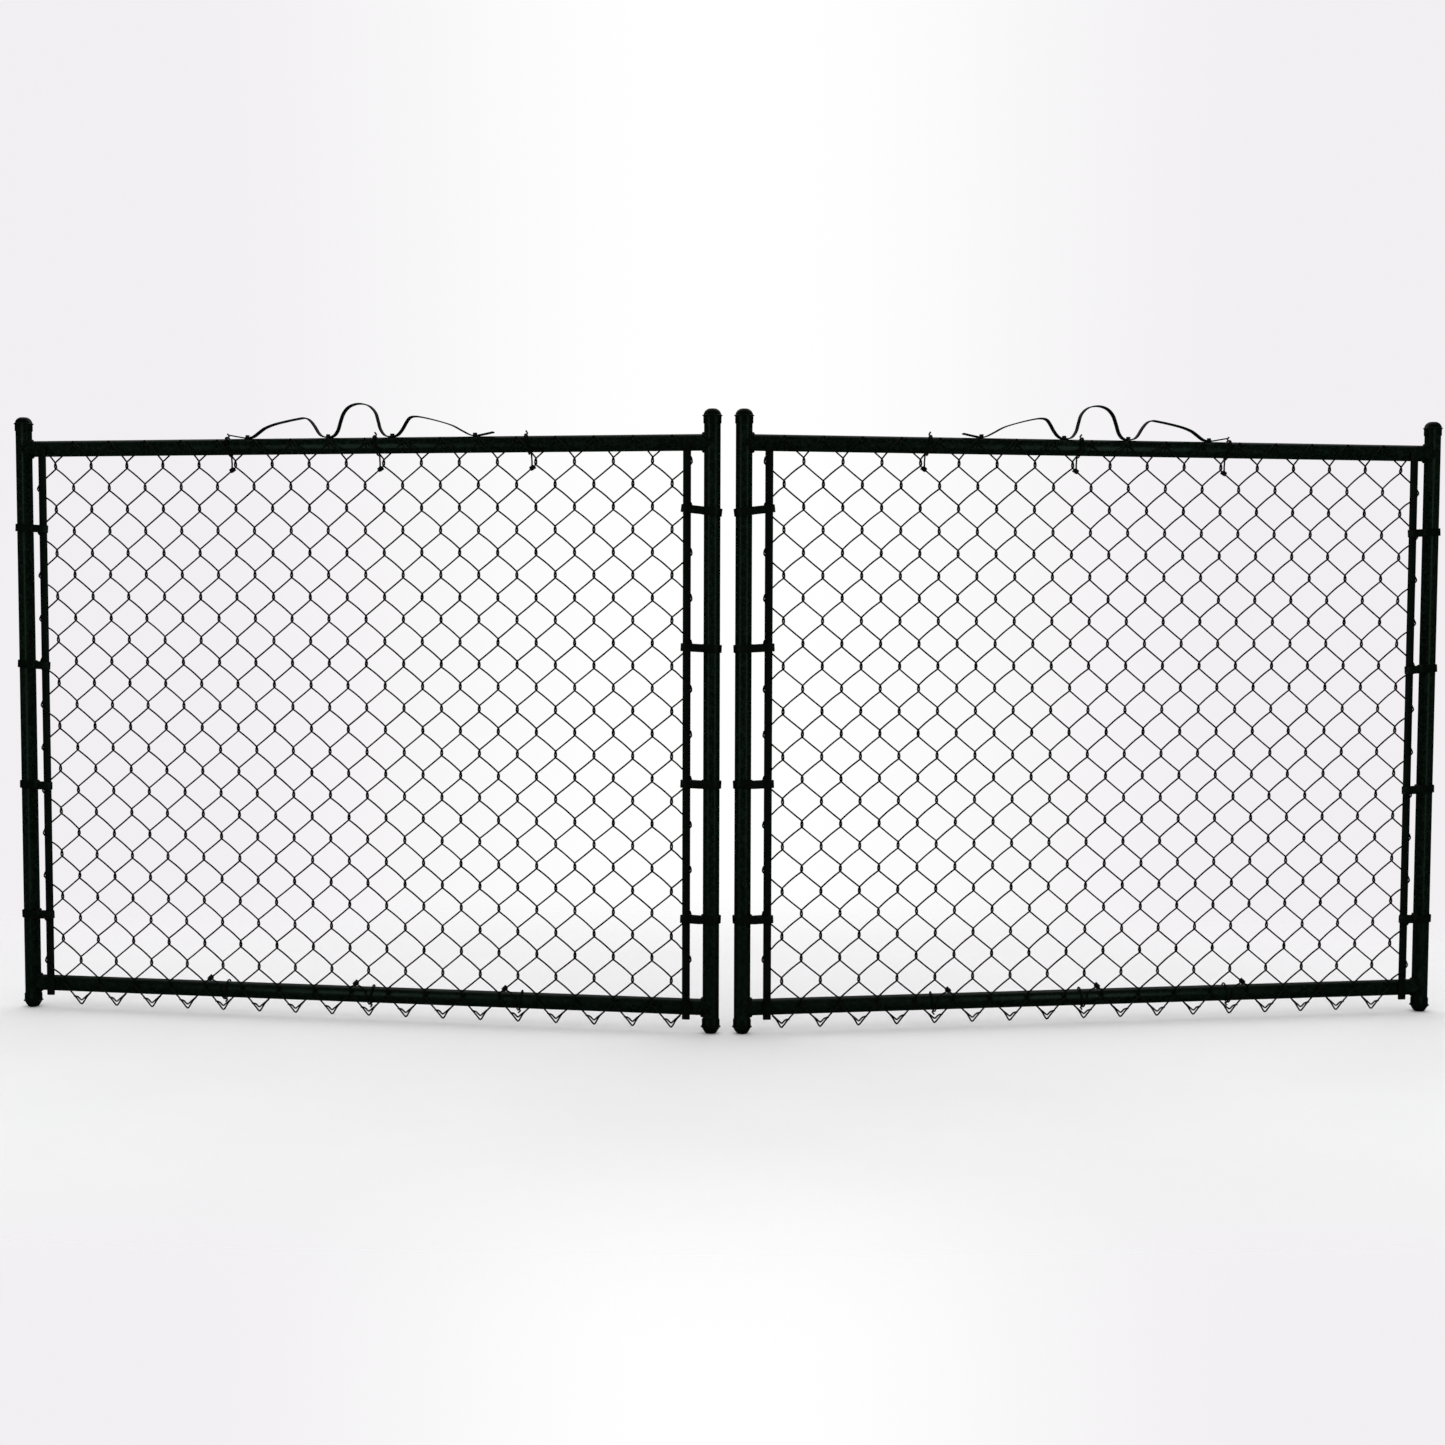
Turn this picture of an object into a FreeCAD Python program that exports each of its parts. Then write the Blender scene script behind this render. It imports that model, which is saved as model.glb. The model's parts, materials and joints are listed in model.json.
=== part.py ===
"""Double leaf chain link gate: two mirror-image tube frames that stand in a shallow V on their foot caps.

Each leaf is drawn in its own frame: the inner (meeting) upright stands at the origin, the leaf runs
outwards from it, -Y is the fabric side and the floor is at zero. The leaf is then turned by the fold
angle and put on its side of the middle. All lengths are millimetres.
"""
import FreeCAD, Part
import math
import os

import Sketcher

V = FreeCAD.Vector
Z_AXIS = V(0, 0, 1)

SIZES = [
    ("tube_od", 33.4, "outside diameter of every frame tube"),
    ("tube_wall", 1.6, "wall of the frame tubes"),
    ("leaf_width", 1482, "from upright axis to upright axis"),
    ("rail_spacing", 1140, "from rail axis to rail axis"),
    ("bottom_rail_height", 53, "bottom rail axis above the floor"),
    ("crown_rise", 67, "crown of the top caps above the top rail axis"),
    ("inner_gap", 63.5, "between the axes of the two meeting uprights"),
    ("fold_angle", 9.7, "turn of each leaf from the straight line, in degrees"),
    ("cope_gap", 0.1, "air between a coped rail end and the upright"),
    ("weld_leg", 4.5, "leg of the weld bead round a rail end"),
    ("cap_wall", 1.9, "wall of the pressed caps"),
    ("cap_fit", 0.15, "air between a cap skirt and its tube"),
    ("cap_dome", 14, "crown to the middle of the cap rim"),
    ("cap_skirt", 15.5, "middle of the cap rim to the skirt end"),
    ("cap_rim_out", 1.4, "how far the rim stands out from the skirt"),
    ("cap_rim_thick", 2.4, "height of the rim"),
    ("cap_crown_flat", 14, "diameter of the flat on the crown"),
    ("cap_dome_radius", 26, "radius of the dome's profile"),
    ("wire_od", 3, "coated fabric wire"),
    ("layer_air", 0.5, "air between the two layers of the fabric"),
    ("wire_gap", 0.3, "air between two fabric wires, or wire and bar"),
    ("knot_half", 5, "half the height of an interlock"),
    ("wire_bend", 3.2, "bend radius of the wire's middle line"),
    ("fabric_drop", 35.4, "bottom selvage below the bottom rail axis"),
    ("fabric_rise", 10.2, "top selvage above the top rail axis"),
    ("selvage_step", 7, "height between the two nested ends of a selvage"),
    ("selvage_tail", 23, "length of a turned-back wire end"),
    ("bar_width", 15.9, "tension bar across the leaf"),
    ("bar_thick", 4.8, "tension bar front to back"),
    ("bar_corner", 1.5, "corner radius of the tension bar"),
    ("bar_rise", 6, "bar end above the top rail axis"),
    ("bar_drop", 22, "bar end below the bottom rail axis"),
    ("inner_bar_reach", 30.3, "inner upright's face to the bar's middle"),
    ("outer_bar_reach", 36.3, "outer upright's face to the bar's middle"),
    ("rail_air", 0.4, "air between the rail and the fabric behind a bar"),
    ("band_fit", 0.5, "air between a band and its upright"),
    ("band_thick", 3, "coated band strap"),
    ("band_width", 16, "height of a band"),
    ("band_air", 0.2, "air between a band's legs and the fabric"),
    ("band_lip_air", 0.4, "air between a band's lip and the bar's edge"),
    ("band_neck", 3.3, "from the strap's outside to where a front leg runs straight"),
    ("band_back_reach", 6, "band's back leg past the middle of the bar"),
    ("band_ear", 20, "diameter of the band's round end over the bar"),
    ("bolt_od", 7.9, "carriage bolt shank"),
    ("bolt_fit", 0.25, "radial air of a bolt in its hole"),
    ("bolt_reach", 8.8, "band's outer face to the bolt axis"),
    ("bolt_head", 15, "diameter of the bolt head"),
    ("bolt_head_high", 3.6, "height of the bolt head"),
    ("nut_flats", 12.7, "hexagon nut across flats"),
    ("nut_thick", 6.5, "hexagon nut"),
    ("scroll_width", 19, "flat strip, front to back"),
    ("scroll_thick", 2, "flat strip"),
    ("scroll_half", 283, "half the length of the scroll"),
    ("scroll_arch_half", 50, "half the foot of the middle arch"),
    ("scroll_arch_high", 67.5, "height of the middle arch"),
    ("scroll_hump_start", 86, "inner foot of a side hump"),
    ("scroll_hump_end", 230, "outer foot of a side hump"),
    ("scroll_hump_high", 40, "height of a side hump"),
    ("scroll_shift", 5, "scroll's middle inwards of the leaf's middle"),
    ("screw_od", 4.8, "scroll screw shank"),
    ("screw_fit", 0.25, "radial air of a screw in its holes"),
    ("screw_long", 12, "screw below its head"),
    ("screw_flange", 11, "flange of the screw head"),
    ("screw_flats", 8, "hexagon of the screw head"),
    ("tie_od", 2.4, "tie wire"),
]
COLUMNS = 35
ROWS = 13
BAND_ROWS = (11, 8, 5, 2)
INNER_BAND_LIFTS = (-11.4, -11.4, -11.4, -11.4)
OUTER_BAND_LIFTS = (5.8, -9.0, 7.5, 2.8)
TIE_COLUMNS = (8, 16, 24)

doc = FreeCAD.newDocument("chain_link_gate")
sheet = doc.addObject("Spreadsheet::Sheet", "Sizes")
for row, (alias, value, note) in enumerate(SIZES, start=1):
    sheet.set("A%d" % row, alias)
    sheet.set("B%d" % row, str(value))
    sheet.set("C%d" % row, note)
    sheet.setAlias("B%d" % row, alias)
doc.recompute()


class Size:
    """A length that carries its number and the sheet expression it comes from."""

    def __init__(self, value, text):
        self.value = float(value)
        self.text = text

    def combine(self, other, sign, result):
        return Size(result, "(%s %s %s)" % (self.text, sign, as_size(other).text))

    def __add__(self, other):
        return self.combine(other, "+", self.value + as_size(other).value)

    def __sub__(self, other):
        return self.combine(other, "-", self.value - as_size(other).value)

    def __mul__(self, other):
        return self.combine(other, "*", self.value * as_size(other).value)

    def __truediv__(self, other):
        return self.combine(other, "/", self.value / as_size(other).value)

    def __neg__(self):
        return Size(-self.value, "(0 - %s)" % self.text)

    def __float__(self):
        return self.value


def as_size(value):
    if isinstance(value, Size):
        return value
    return Size(value, "%.6f" % value)


def size(alias):
    return Size(sheet.get(alias), "Sizes." + alias)


TUBE_R = size("tube_od") / 2
WIRE_R = size("wire_od") / 2
LAYER = WIRE_R + size("layer_air") / 2
BAR_LAYER = size("bar_thick") / 2 + size("wire_gap") + WIRE_R
FABRIC_Y = TUBE_R + size("rail_air") + WIRE_R + BAR_LAYER
BAR_X = {"inner": TUBE_R + size("inner_bar_reach"), "outer": TUBE_R + size("outer_bar_reach")}
BAR_WRAP = size("bar_width") / 2 + size("wire_gap") + WIRE_R
LAST_WRAP = size("leaf_width") - BAR_X["outer"] + BAR_WRAP
COLUMN_STEP = (LAST_WRAP - BAR_X["inner"] + BAR_WRAP) / COLUMNS
ROW_STEP = (size("rail_spacing") + size("fabric_drop") + size("fabric_rise")) / ROWS
TOP_RAIL = size("bottom_rail_height") + size("rail_spacing")
LEAF_HEIGHT = TOP_RAIL + size("crown_rise")
SELVAGE = size("bottom_rail_height") - size("fabric_drop")
BAND_IN = TUBE_R + size("band_fit")
BAND_OUT = BAND_IN + size("band_thick")
LEG_FRONT = FABRIC_Y + BAR_LAYER + WIRE_R + size("band_air")
LEG_BACK = FABRIC_Y - BAR_LAYER - WIRE_R - size("band_air")
BOLT_X = BAND_OUT + size("bolt_reach")
CAP_SEAT = size("cap_dome")
CAP_IN = TUBE_R + size("cap_fit")
CAP_OUT = CAP_IN + size("cap_wall")
CAP_RIM = CAP_OUT + size("cap_rim_out")
CAP_LONG = size("cap_dome") + size("cap_skirt")
SCROLL_X = size("leaf_width") / 2 - size("scroll_shift")
SCREW_SPOTS = (
    -(size("scroll_hump_end") + 15),
    -(size("scroll_arch_half") + 19),
    size("scroll_arch_half") + 19,
    size("scroll_hump_end") + 15,
)


def column_x(column):
    return float(BAR_X["inner"] - BAR_WRAP + COLUMN_STEP * column)


def row_z(row):
    """Height of a fabric row: whole numbers are the selvage rows, halves the rows between them."""
    return float(SELVAGE + ROW_STEP * row)


FOLD = float(size("fold_angle"))
FRONT_REACH = float(LEG_FRONT + size("band_thick") + size("bolt_head_high"))
LEAF_DEPTH = float(size("leaf_width")) * math.sin(math.radians(FOLD))
MEETING_Y = (FRONT_REACH - LEAF_DEPTH - float(CAP_RIM)) / 2
SIDES = (("left", -1), ("right", 1))


def leaf_placement(side):
    """Where a leaf's own frame stands: its meeting upright beside the middle, turned by the fold angle."""
    place = V(side * float(size("inner_gap")) / 2, MEETING_Y, 0)
    return FreeCAD.Placement(place, FreeCAD.Rotation(Z_AXIS, side * FOLD))


def put(obj, side, out, front, up, turned=False, turn_axis=V(0, 1, 0)):
    """Seat a piece on its leaf, given half a turn about an axis of its own where it faces the other way."""
    turn = FreeCAD.Rotation(turn_axis, 180 if turned else 0)
    seat = FreeCAD.Placement(V(side * out, -front, up), turn)
    obj.Placement = leaf_placement(side).multiply(seat)


def plane(body, role):
    return [f for f in body.Origin.OriginFeatures if f.Role == role][0]


def new_sketch(body, role, name):
    sketch = body.newObject("Sketcher::SketchObject", name)
    sketch.AttachmentSupport = [(plane(body, role), "")]
    sketch.MapMode = "FlatFace"
    return sketch


def bind_constraint(sketch, kind, elements, wanted):
    index = sketch.addConstraint(Sketcher.Constraint(kind, *elements, wanted.value))
    sketch.setExpression("Constraints[%d]" % index, wanted.text)


def pin_point(sketch, geometry, end, x, y):
    """Hold a point of the sketch at two sheet-bound coordinates."""
    for kind, axis, wanted in (("DistanceX", -2, as_size(x)), ("DistanceY", -1, as_size(y))):
        if wanted.value == 0:
            sketch.addConstraint(Sketcher.Constraint("PointOnObject", geometry, end, axis))
        else:
            bind_constraint(sketch, kind, (-1, 1, geometry, end), wanted)


def add_circle(sketch, x, y, diameter):
    x, y, diameter = as_size(x), as_size(y), as_size(diameter)
    circle = Part.Circle(V(x.value, y.value, 0), Z_AXIS, diameter.value / 2)
    geometry = sketch.addGeometry(circle, False)
    pin_point(sketch, geometry, 3, x, y)
    bind_constraint(sketch, "Diameter", (geometry,), diameter)


def add_outline(sketch, corners, arcs=None):
    """Closed outline through the corners; arcs gives a radius to some of its spans, and the side it bows to.

    A span whose side is +1 runs anticlockwise about its centre, and one whose side is -1 clockwise.
    """
    arcs = arcs or {}
    ends = []
    for index, (x, y) in enumerate(corners):
        start = V(float(x), float(y), 0)
        after = corners[(index + 1) % len(corners)]
        finish = V(float(after[0]), float(after[1]), 0)
        if index not in arcs:
            ends.append((sketch.addGeometry(Part.LineSegment(start, finish), False), 1, 2))
            continue
        radius, turn, far = (arcs[index] + (False,))[:3]
        chord = finish - start
        rise = math.sqrt(max(float(radius) ** 2 - (chord.Length / 2) ** 2, 0))
        across = Z_AXIS.cross(chord).normalize() * (turn * (-rise if far else rise))
        centre = (start + finish) / 2 + across
        first, last = (start, finish) if turn > 0 else (finish, start)
        angles = [math.atan2(p.y - centre.y, p.x - centre.x) for p in (first, last)]
        if angles[1] < angles[0]:
            angles[1] += 2 * math.pi
        arc = Part.ArcOfCircle(Part.Circle(centre, Z_AXIS, float(radius)), *angles)
        geometry = sketch.addGeometry(arc, False)
        ends.append((geometry, 1, 2) if turn > 0 else (geometry, 2, 1))
    for index, (geometry, start_end, _) in enumerate(ends):
        before, _, finish_end = ends[index - 1]
        sketch.addConstraint(Sketcher.Constraint("Coincident", before, finish_end, geometry, start_end))
        pin_point(sketch, geometry, start_end, *corners[index])
        if index in arcs:
            bind_constraint(sketch, "Radius", (geometry,), as_size(arcs[index][0]))


def new_body(name):
    body = doc.addObject("PartDesign::Body", name)
    body.Label = name
    return body


def add_pad(body, sketch, length, both_ways=False):
    pad = body.newObject("PartDesign::Pad", "Pad")
    pad.Profile = sketch
    pad.Length = float(length)
    pad.setExpression("Length", as_size(length).text)
    if both_ways:
        pad.SideType = "Symmetric"
    return pad


def add_pocket(body, sketch, length, both_ways=False, reverse=False):
    """Cut a sketch out of the body and check that it took material away."""
    doc.recompute()
    before = body.Shape.Volume
    pocket = body.newObject("PartDesign::Pocket", "Pocket")
    pocket.Profile = sketch
    pocket.Length = float(length)
    pocket.setExpression("Length", as_size(length).text)
    pocket.Reversed = reverse
    if both_ways:
        pocket.SideType = "Symmetric"
    doc.recompute()
    if body.Shape.Volume > before - 1:
        raise RuntimeError("%s: a pocket removed nothing" % body.Label)
    return pocket


def add_revolution(body, sketch, axis):
    turned = body.newObject("PartDesign::Revolution", "Revolution")
    turned.Profile = sketch
    turned.ReferenceAxis = (sketch, [axis])
    turned.Angle = 360
    return turned


def make_upright(name):
    body = new_body(name)
    ring = new_sketch(body, "XY_Plane", "TubeSection")
    add_circle(ring, 0, 0, size("tube_od"))
    add_circle(ring, 0, 0, size("tube_od") - size("tube_wall") * 2)
    add_pad(body, ring, LEAF_HEIGHT - CAP_SEAT * 2)
    return body


def make_rail(name, drilled):
    """Tube along +X from one upright axis to the other, coped to both, with screw holes on top if drilled."""
    body = new_body(name)
    ring = new_sketch(body, "YZ_Plane", "TubeSection")
    add_circle(ring, 0, 0, size("tube_od"))
    add_circle(ring, 0, 0, size("tube_od") - size("tube_wall") * 2)
    add_pad(body, ring, size("leaf_width"))
    copes = new_sketch(body, "XY_Plane", "Copes")
    for x in (0, size("leaf_width")):
        add_circle(copes, x, 0, size("tube_od") + size("cope_gap") * 2)
    add_pocket(body, copes, size("tube_od") * 2, both_ways=True)
    if drilled:
        holes = new_sketch(body, "XY_Plane", "ScrewHoles")
        for spot in SCREW_SPOTS:
            add_circle(holes, SCROLL_X + spot, 0, size("screw_od") + size("screw_fit") * 2)
        add_pocket(body, holes, size("tube_od"), reverse=True)
    return body


def make_cap(name):
    """Pressed dome cap, crown down on its own origin, with the tube seated on an inner shoulder."""
    body = new_body(name)
    profile = new_sketch(body, "XZ_Plane", "Profile")
    crown = size("cap_crown_flat") / 2
    rim_low = size("cap_dome") - size("cap_rim_thick") / 2
    rim_high = size("cap_dome") + size("cap_rim_thick") / 2
    corners = [
        (0, 0),
        (crown, 0),
        (CAP_OUT, rim_low),
        (CAP_RIM, rim_low),
        (CAP_RIM, rim_high),
        (CAP_OUT, rim_high),
        (CAP_OUT, CAP_LONG),
        (CAP_IN, CAP_LONG),
        (CAP_IN, CAP_SEAT),
        (TUBE_R - size("tube_wall"), CAP_SEAT),
        (crown - 1, size("cap_wall")),
        (0, size("cap_wall")),
    ]
    dome = size("cap_dome_radius")
    add_outline(profile, corners, {1: (dome, 1), 9: (dome, -1)})
    add_revolution(body, profile, "V_Axis")
    return body


def make_bar(name):
    """Flat bar that holds the end of the fabric, standing on its own origin."""
    body = new_body(name)
    section = new_sketch(body, "XY_Plane", "Section")
    half_w, half_t, r = size("bar_width") / 2, size("bar_thick") / 2, size("bar_corner")
    corners = [
        (half_w - r, -half_t),
        (half_w, r - half_t),
        (half_w, half_t - r),
        (half_w - r, half_t),
        (r - half_w, half_t),
        (-half_w, half_t - r),
        (-half_w, r - half_t),
        (r - half_w, -half_t),
    ]
    add_outline(section, corners, {0: (r, 1), 2: (r, 1), 4: (r, 1), 6: (r, 1)})
    add_pad(body, section, size("rail_spacing") + size("bar_rise") + size("bar_drop"))
    return body


def make_band(name, bar_x):
    """Tension band: a strap round the upright whose two legs run out to the bar at +X.

    The front leg ends in a round ear over the bar and a lip that hooks the bar's far edge.
    """
    body = new_body(name)
    outline = new_sketch(body, "XY_Plane", "Strap")
    thick = size("band_thick")
    front_in, front_out = -LEG_FRONT, -(LEG_FRONT + thick)
    back_in, back_out = -LEG_BACK, thick - LEG_BACK
    lip_in = bar_x + size("bar_width") / 2 + size("band_lip_air")
    bend = BAND_OUT + size("band_neck")
    lean = math.radians(-112.5)
    close = math.radians(-53)
    corners = [
        (BAND_OUT * math.cos(lean), BAND_OUT * math.sin(lean)),
        (bend, front_out),
        (lip_in + thick, front_out),
        (lip_in + thick, -FABRIC_Y + size("wire_gap")),
        (lip_in, -FABRIC_Y + size("wire_gap")),
        (lip_in, front_in),
        (bend + thick * 0.2, front_in),
        (BAND_IN * math.cos(lean), BAND_IN * math.sin(lean)),
        (BAND_IN * math.cos(close), BAND_IN * math.sin(close)),
        (BAND_IN * math.cos(close) + 1.2, back_in),
        (bar_x + size("band_back_reach"), back_in),
        (bar_x + size("band_back_reach"), back_out),
        (BAND_OUT * math.cos(math.radians(-43)), back_out),
        (BAND_OUT * math.cos(math.radians(-40)), BAND_OUT * math.sin(math.radians(-40))),
    ]
    add_outline(outline, corners, {7: (BAND_IN, -1, True), 13: (BAND_OUT, 1, True)})
    add_pad(body, outline, size("band_width"), both_ways=True)
    holes = new_sketch(body, "XZ_Plane", "BoltHoles")
    add_circle(holes, BOLT_X, 0, size("bolt_od") + size("bolt_fit") * 2)
    add_pocket(body, holes, LEG_FRONT * 3, both_ways=True)
    return body


def make_ear(name, bar_x):
    """Round end of a band's front leg, as a disc as thick as the strap."""
    disc = doc.addObject("Part::Cylinder", name)
    disc.setExpression("Radius", (size("band_ear") / 2).text)
    disc.setExpression("Height", size("band_thick").text)
    front = float(LEG_FRONT + size("band_thick"))
    disc.Placement = FreeCAD.Placement(V(float(bar_x), -front, 0), FreeCAD.Rotation(V(1, 0, 0), -90))
    return disc


def make_bolt(name):
    """Carriage bolt along +Y with its head at the front; the origin is under the head."""
    body = new_body(name)
    profile = new_sketch(body, "XY_Plane", "Profile")
    shank = size("bolt_od") / 2
    length = LEG_FRONT - LEG_BACK + size("band_thick") * 2 + size("nut_thick") + 2
    head_r, head_h = size("bolt_head") / 2, size("bolt_head_high")
    corners = [(0, -head_h), (head_r, 0), (shank, 0), (shank, length), (0, length)]
    dome = Size(head_r.value ** 2, "(%s)^2" % head_r.text) / (head_h * 2) + head_h / 2
    add_outline(profile, corners, {0: (dome, 1)})
    add_revolution(body, profile, "V_Axis")
    return body


def hexagon(flats):
    half, corner = flats / 2, flats * (0.5 / math.cos(math.radians(30)))
    return [
        (corner, 0),
        (corner * 0.5, half),
        (-corner * 0.5, half),
        (-corner, 0),
        (-corner * 0.5, -half),
        (corner * 0.5, -half),
    ]


def make_nut(name):
    """Hexagon nut about the Y axis, half to each side of its origin."""
    body = new_body(name)
    section = new_sketch(body, "XZ_Plane", "Section")
    add_outline(section, hexagon(size("nut_flats")))
    add_circle(section, 0, 0, size("bolt_od") + 0.1)
    add_pad(body, section, size("nut_thick"), both_ways=True)
    return body


def make_screw(name):
    """Flanged hexagon screw pointing down, with its flange on the origin."""
    body = new_body(name)
    flange = new_sketch(body, "XY_Plane", "Flange")
    add_circle(flange, 0, 0, size("screw_flange"))
    add_pad(body, flange, 1.2)
    head = new_sketch(body, "XY_Plane", "Head")
    add_outline(head, hexagon(size("screw_flats")))
    add_pad(body, head, 5.4)
    shank = new_sketch(body, "XY_Plane", "Shank")
    add_circle(shank, 0, 0, size("screw_od"))
    add_pad(body, shank, size("screw_long")).Reversed = True
    return body


def add_rod(name, side, out, up, length, radius, along_leaf):
    """Plain cylinder in a leaf's frame: upright, or along the leaf from the meeting upright."""
    rod = doc.addObject("Part::Cylinder", name)
    rod.setExpression("Radius", as_size(radius).text)
    rod.setExpression("Height", as_size(length).text)
    turn = FreeCAD.Rotation(V(0, 1, 0), side * 90) if along_leaf else FreeCAD.Rotation()
    rod.Placement = FreeCAD.Placement(V(side * float(out), 0, float(up)), turn)
    return rod


def make_welds(name, side):
    """Four beads: what is near both tubes of a corner, less the tubes themselves."""
    near, solid = [], []
    for grow, kept in ((size("weld_leg"), near), (size("cope_gap"), solid)):
        posts = []
        rails = []
        for out in (0, size("leaf_width")):
            posts.append(add_rod("Post", side, out, 0, LEAF_HEIGHT, TUBE_R + grow, False))
        for up in (size("bottom_rail_height"), TOP_RAIL):
            rails.append(add_rod("Rail", side, 0, up, size("leaf_width"), TUBE_R + grow, True))
        for rods in (posts, rails):
            kept.append(doc.addObject("Part::MultiFuse", "Rods"))
            kept[-1].Shapes = rods
    corners = doc.addObject("Part::Common", "Corners")
    corners.Base, corners.Tool = near
    tubes = doc.addObject("Part::MultiFuse", "Tubes")
    tubes.Shapes = solid
    beads = doc.addObject("Part::Cut", name)
    beads.Base, beads.Tool = corners, tubes
    beads.Label = name
    return beads


def rounded_path(points, radii):
    """Wire of straight runs joined by tangent arcs; an arc is limited to what its two runs allow."""
    edges = []
    start = points[0]
    for before, corner, after, radius in zip(points, points[1:], points[2:], radii):
        back, ahead = before - corner, after - corner
        room = min(back.Length, ahead.Length) * 0.49
        back.normalize()
        ahead.normalize()
        turn = math.pi - back.getAngle(ahead)
        if turn < 0.001:
            continue
        reach = min(radius * math.tan(turn / 2), room)
        first, last = corner + back * reach, corner + ahead * reach
        middle = (back + ahead).normalize()
        depth = reach / math.tan(turn / 2) * (1 / math.cos(turn / 2) - 1)
        edges.append(Part.makeLine(start, first))
        edges.append(Part.Arc(first, corner + middle * depth, last).toShape())
        start = last
    edges.append(Part.makeLine(start, points[-1]))
    return Part.Wire(edges)


def sweep_round(points, radius, bend):
    """Round wire along a rounded path."""
    bends = bend if isinstance(bend, list) else [bend] * len(points)
    path = rounded_path(points, bends)
    section = Part.Wire(Part.makeCircle(radius, points[0], points[1] - points[0]))
    return path.makePipe(Part.Face(section))


def fabric_wire(index):
    """One zigzag wire of the fabric, between columns index and index + 1.

    Runs that rise outwards lie in the front layer and runs that rise inwards in the back layer, so at
    each interlock a wire passes round its neighbour. The first wire wraps the inner bar and the last
    wire the outer bar.
    """
    layer, spread = float(LAYER), float(WIRE_R + size("wire_gap") / 2)
    knot, mid = float(size("knot_half")), -float(FABRIC_Y)
    bar_layer, bend = float(BAR_LAYER), float(size("wire_bend"))
    step_x, step_z = float(COLUMN_STEP), float(ROW_STEP) / 2
    knot_reach, drop = step_x + spread, float(size("selvage_step")) / 2
    shallow, steep = step_z - knot - drop, step_z - knot + drop
    left_x, right_x = column_x(index), column_x(index + 1)
    left_is_selvage = index % 2 == 1
    lone = index == COLUMNS - 1
    points, bends = [], []

    def add(x, y, z, radius):
        points.append(V(x, mid + y, z))
        bends.append(radius)

    def tail(rise):
        share = float(size("selvage_tail")) / math.hypot(knot_reach, rise)
        return share * knot_reach, share * rise

    first = 1 if lone else 0
    for half in range(first, 2 * ROWS + 1 - first):
        z = row_z(half / 2)
        at_left = (half % 2 == 0) == left_is_selvage
        if half == 0:
            sign = -1 if left_is_selvage else 1
            low = z - drop if left_is_selvage else z + drop
            x = left_x if left_is_selvage else right_x
            along, up = tail(shallow if left_is_selvage else steep)
            add(x + sign * along, -sign * layer, low + up, bend)
            add(x + sign * 0.6, -sign * layer, low, 2.2)
            add(x - sign * 0.6, sign * layer, low + 0.4, 2.2)
        elif half == 2 * ROWS:
            sign = -1 if left_is_selvage else 1
            high = z - drop if left_is_selvage else z + drop
            x = left_x if left_is_selvage else right_x
            along, up = tail(steep if left_is_selvage else shallow)
            add(x - sign * 0.6, -sign * layer, high - 0.4, 2.2)
            add(x + sign * 0.6, sign * layer, high, 2.2)
            add(x + sign * along, sign * layer, high - up, bend)
        elif at_left and index == 0:
            edge = float(BAR_X["inner"] + BAR_WRAP)
            lift = (edge - left_x) * step_z / step_x
            add(edge, bar_layer, z - lift, 8)
            add(left_x, bar_layer, z - 3, 2.6)
            add(left_x, -bar_layer, z + 3, 2.6)
            add(edge, -bar_layer, z + lift, 8)
        elif not at_left and lone:
            edge = float(size("leaf_width") - BAR_X["outer"] - BAR_WRAP)
            lift = (right_x - edge) * step_z / step_x
            add(edge, -bar_layer, z - lift, 8)
            add(right_x, -bar_layer, z - 3, 2.6)
            add(right_x, bar_layer, z + 3, 2.6)
            add(edge, bar_layer, z + lift, 8)
        elif at_left:
            add(left_x - spread, layer, z - knot, bend)
            add(left_x - spread, -layer, z + knot, bend)
        else:
            add(right_x + spread, -layer, z - knot, bend)
            add(right_x + spread, layer, z + knot, bend)
    if lone:
        low, high = points[0], points[-1]
        points.insert(0, low + V(0.25 * step_x, 0, -0.25 * step_z))
        points.append(high + V(0.45 * step_x, 0, 0.45 * step_z))
        bends.insert(0, bend)
        bends.append(bend)
    return sweep_round(points, float(WIRE_R), bends[1:])


def make_mesh_wires():
    """All wires of one leaf's fabric; like wires are copies of one another."""
    first, odd, even = fabric_wire(0), fabric_wire(1), fabric_wire(2)
    wires = [first]
    for index in range(1, COLUMNS - 1):
        pattern, start = (odd, 1) if index % 2 else (even, 2)
        wires.append(pattern.translated(V(float(COLUMN_STEP) * (index - start), 0, 0)))
    wires.append(fabric_wire(COLUMNS - 1))
    return wires


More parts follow.
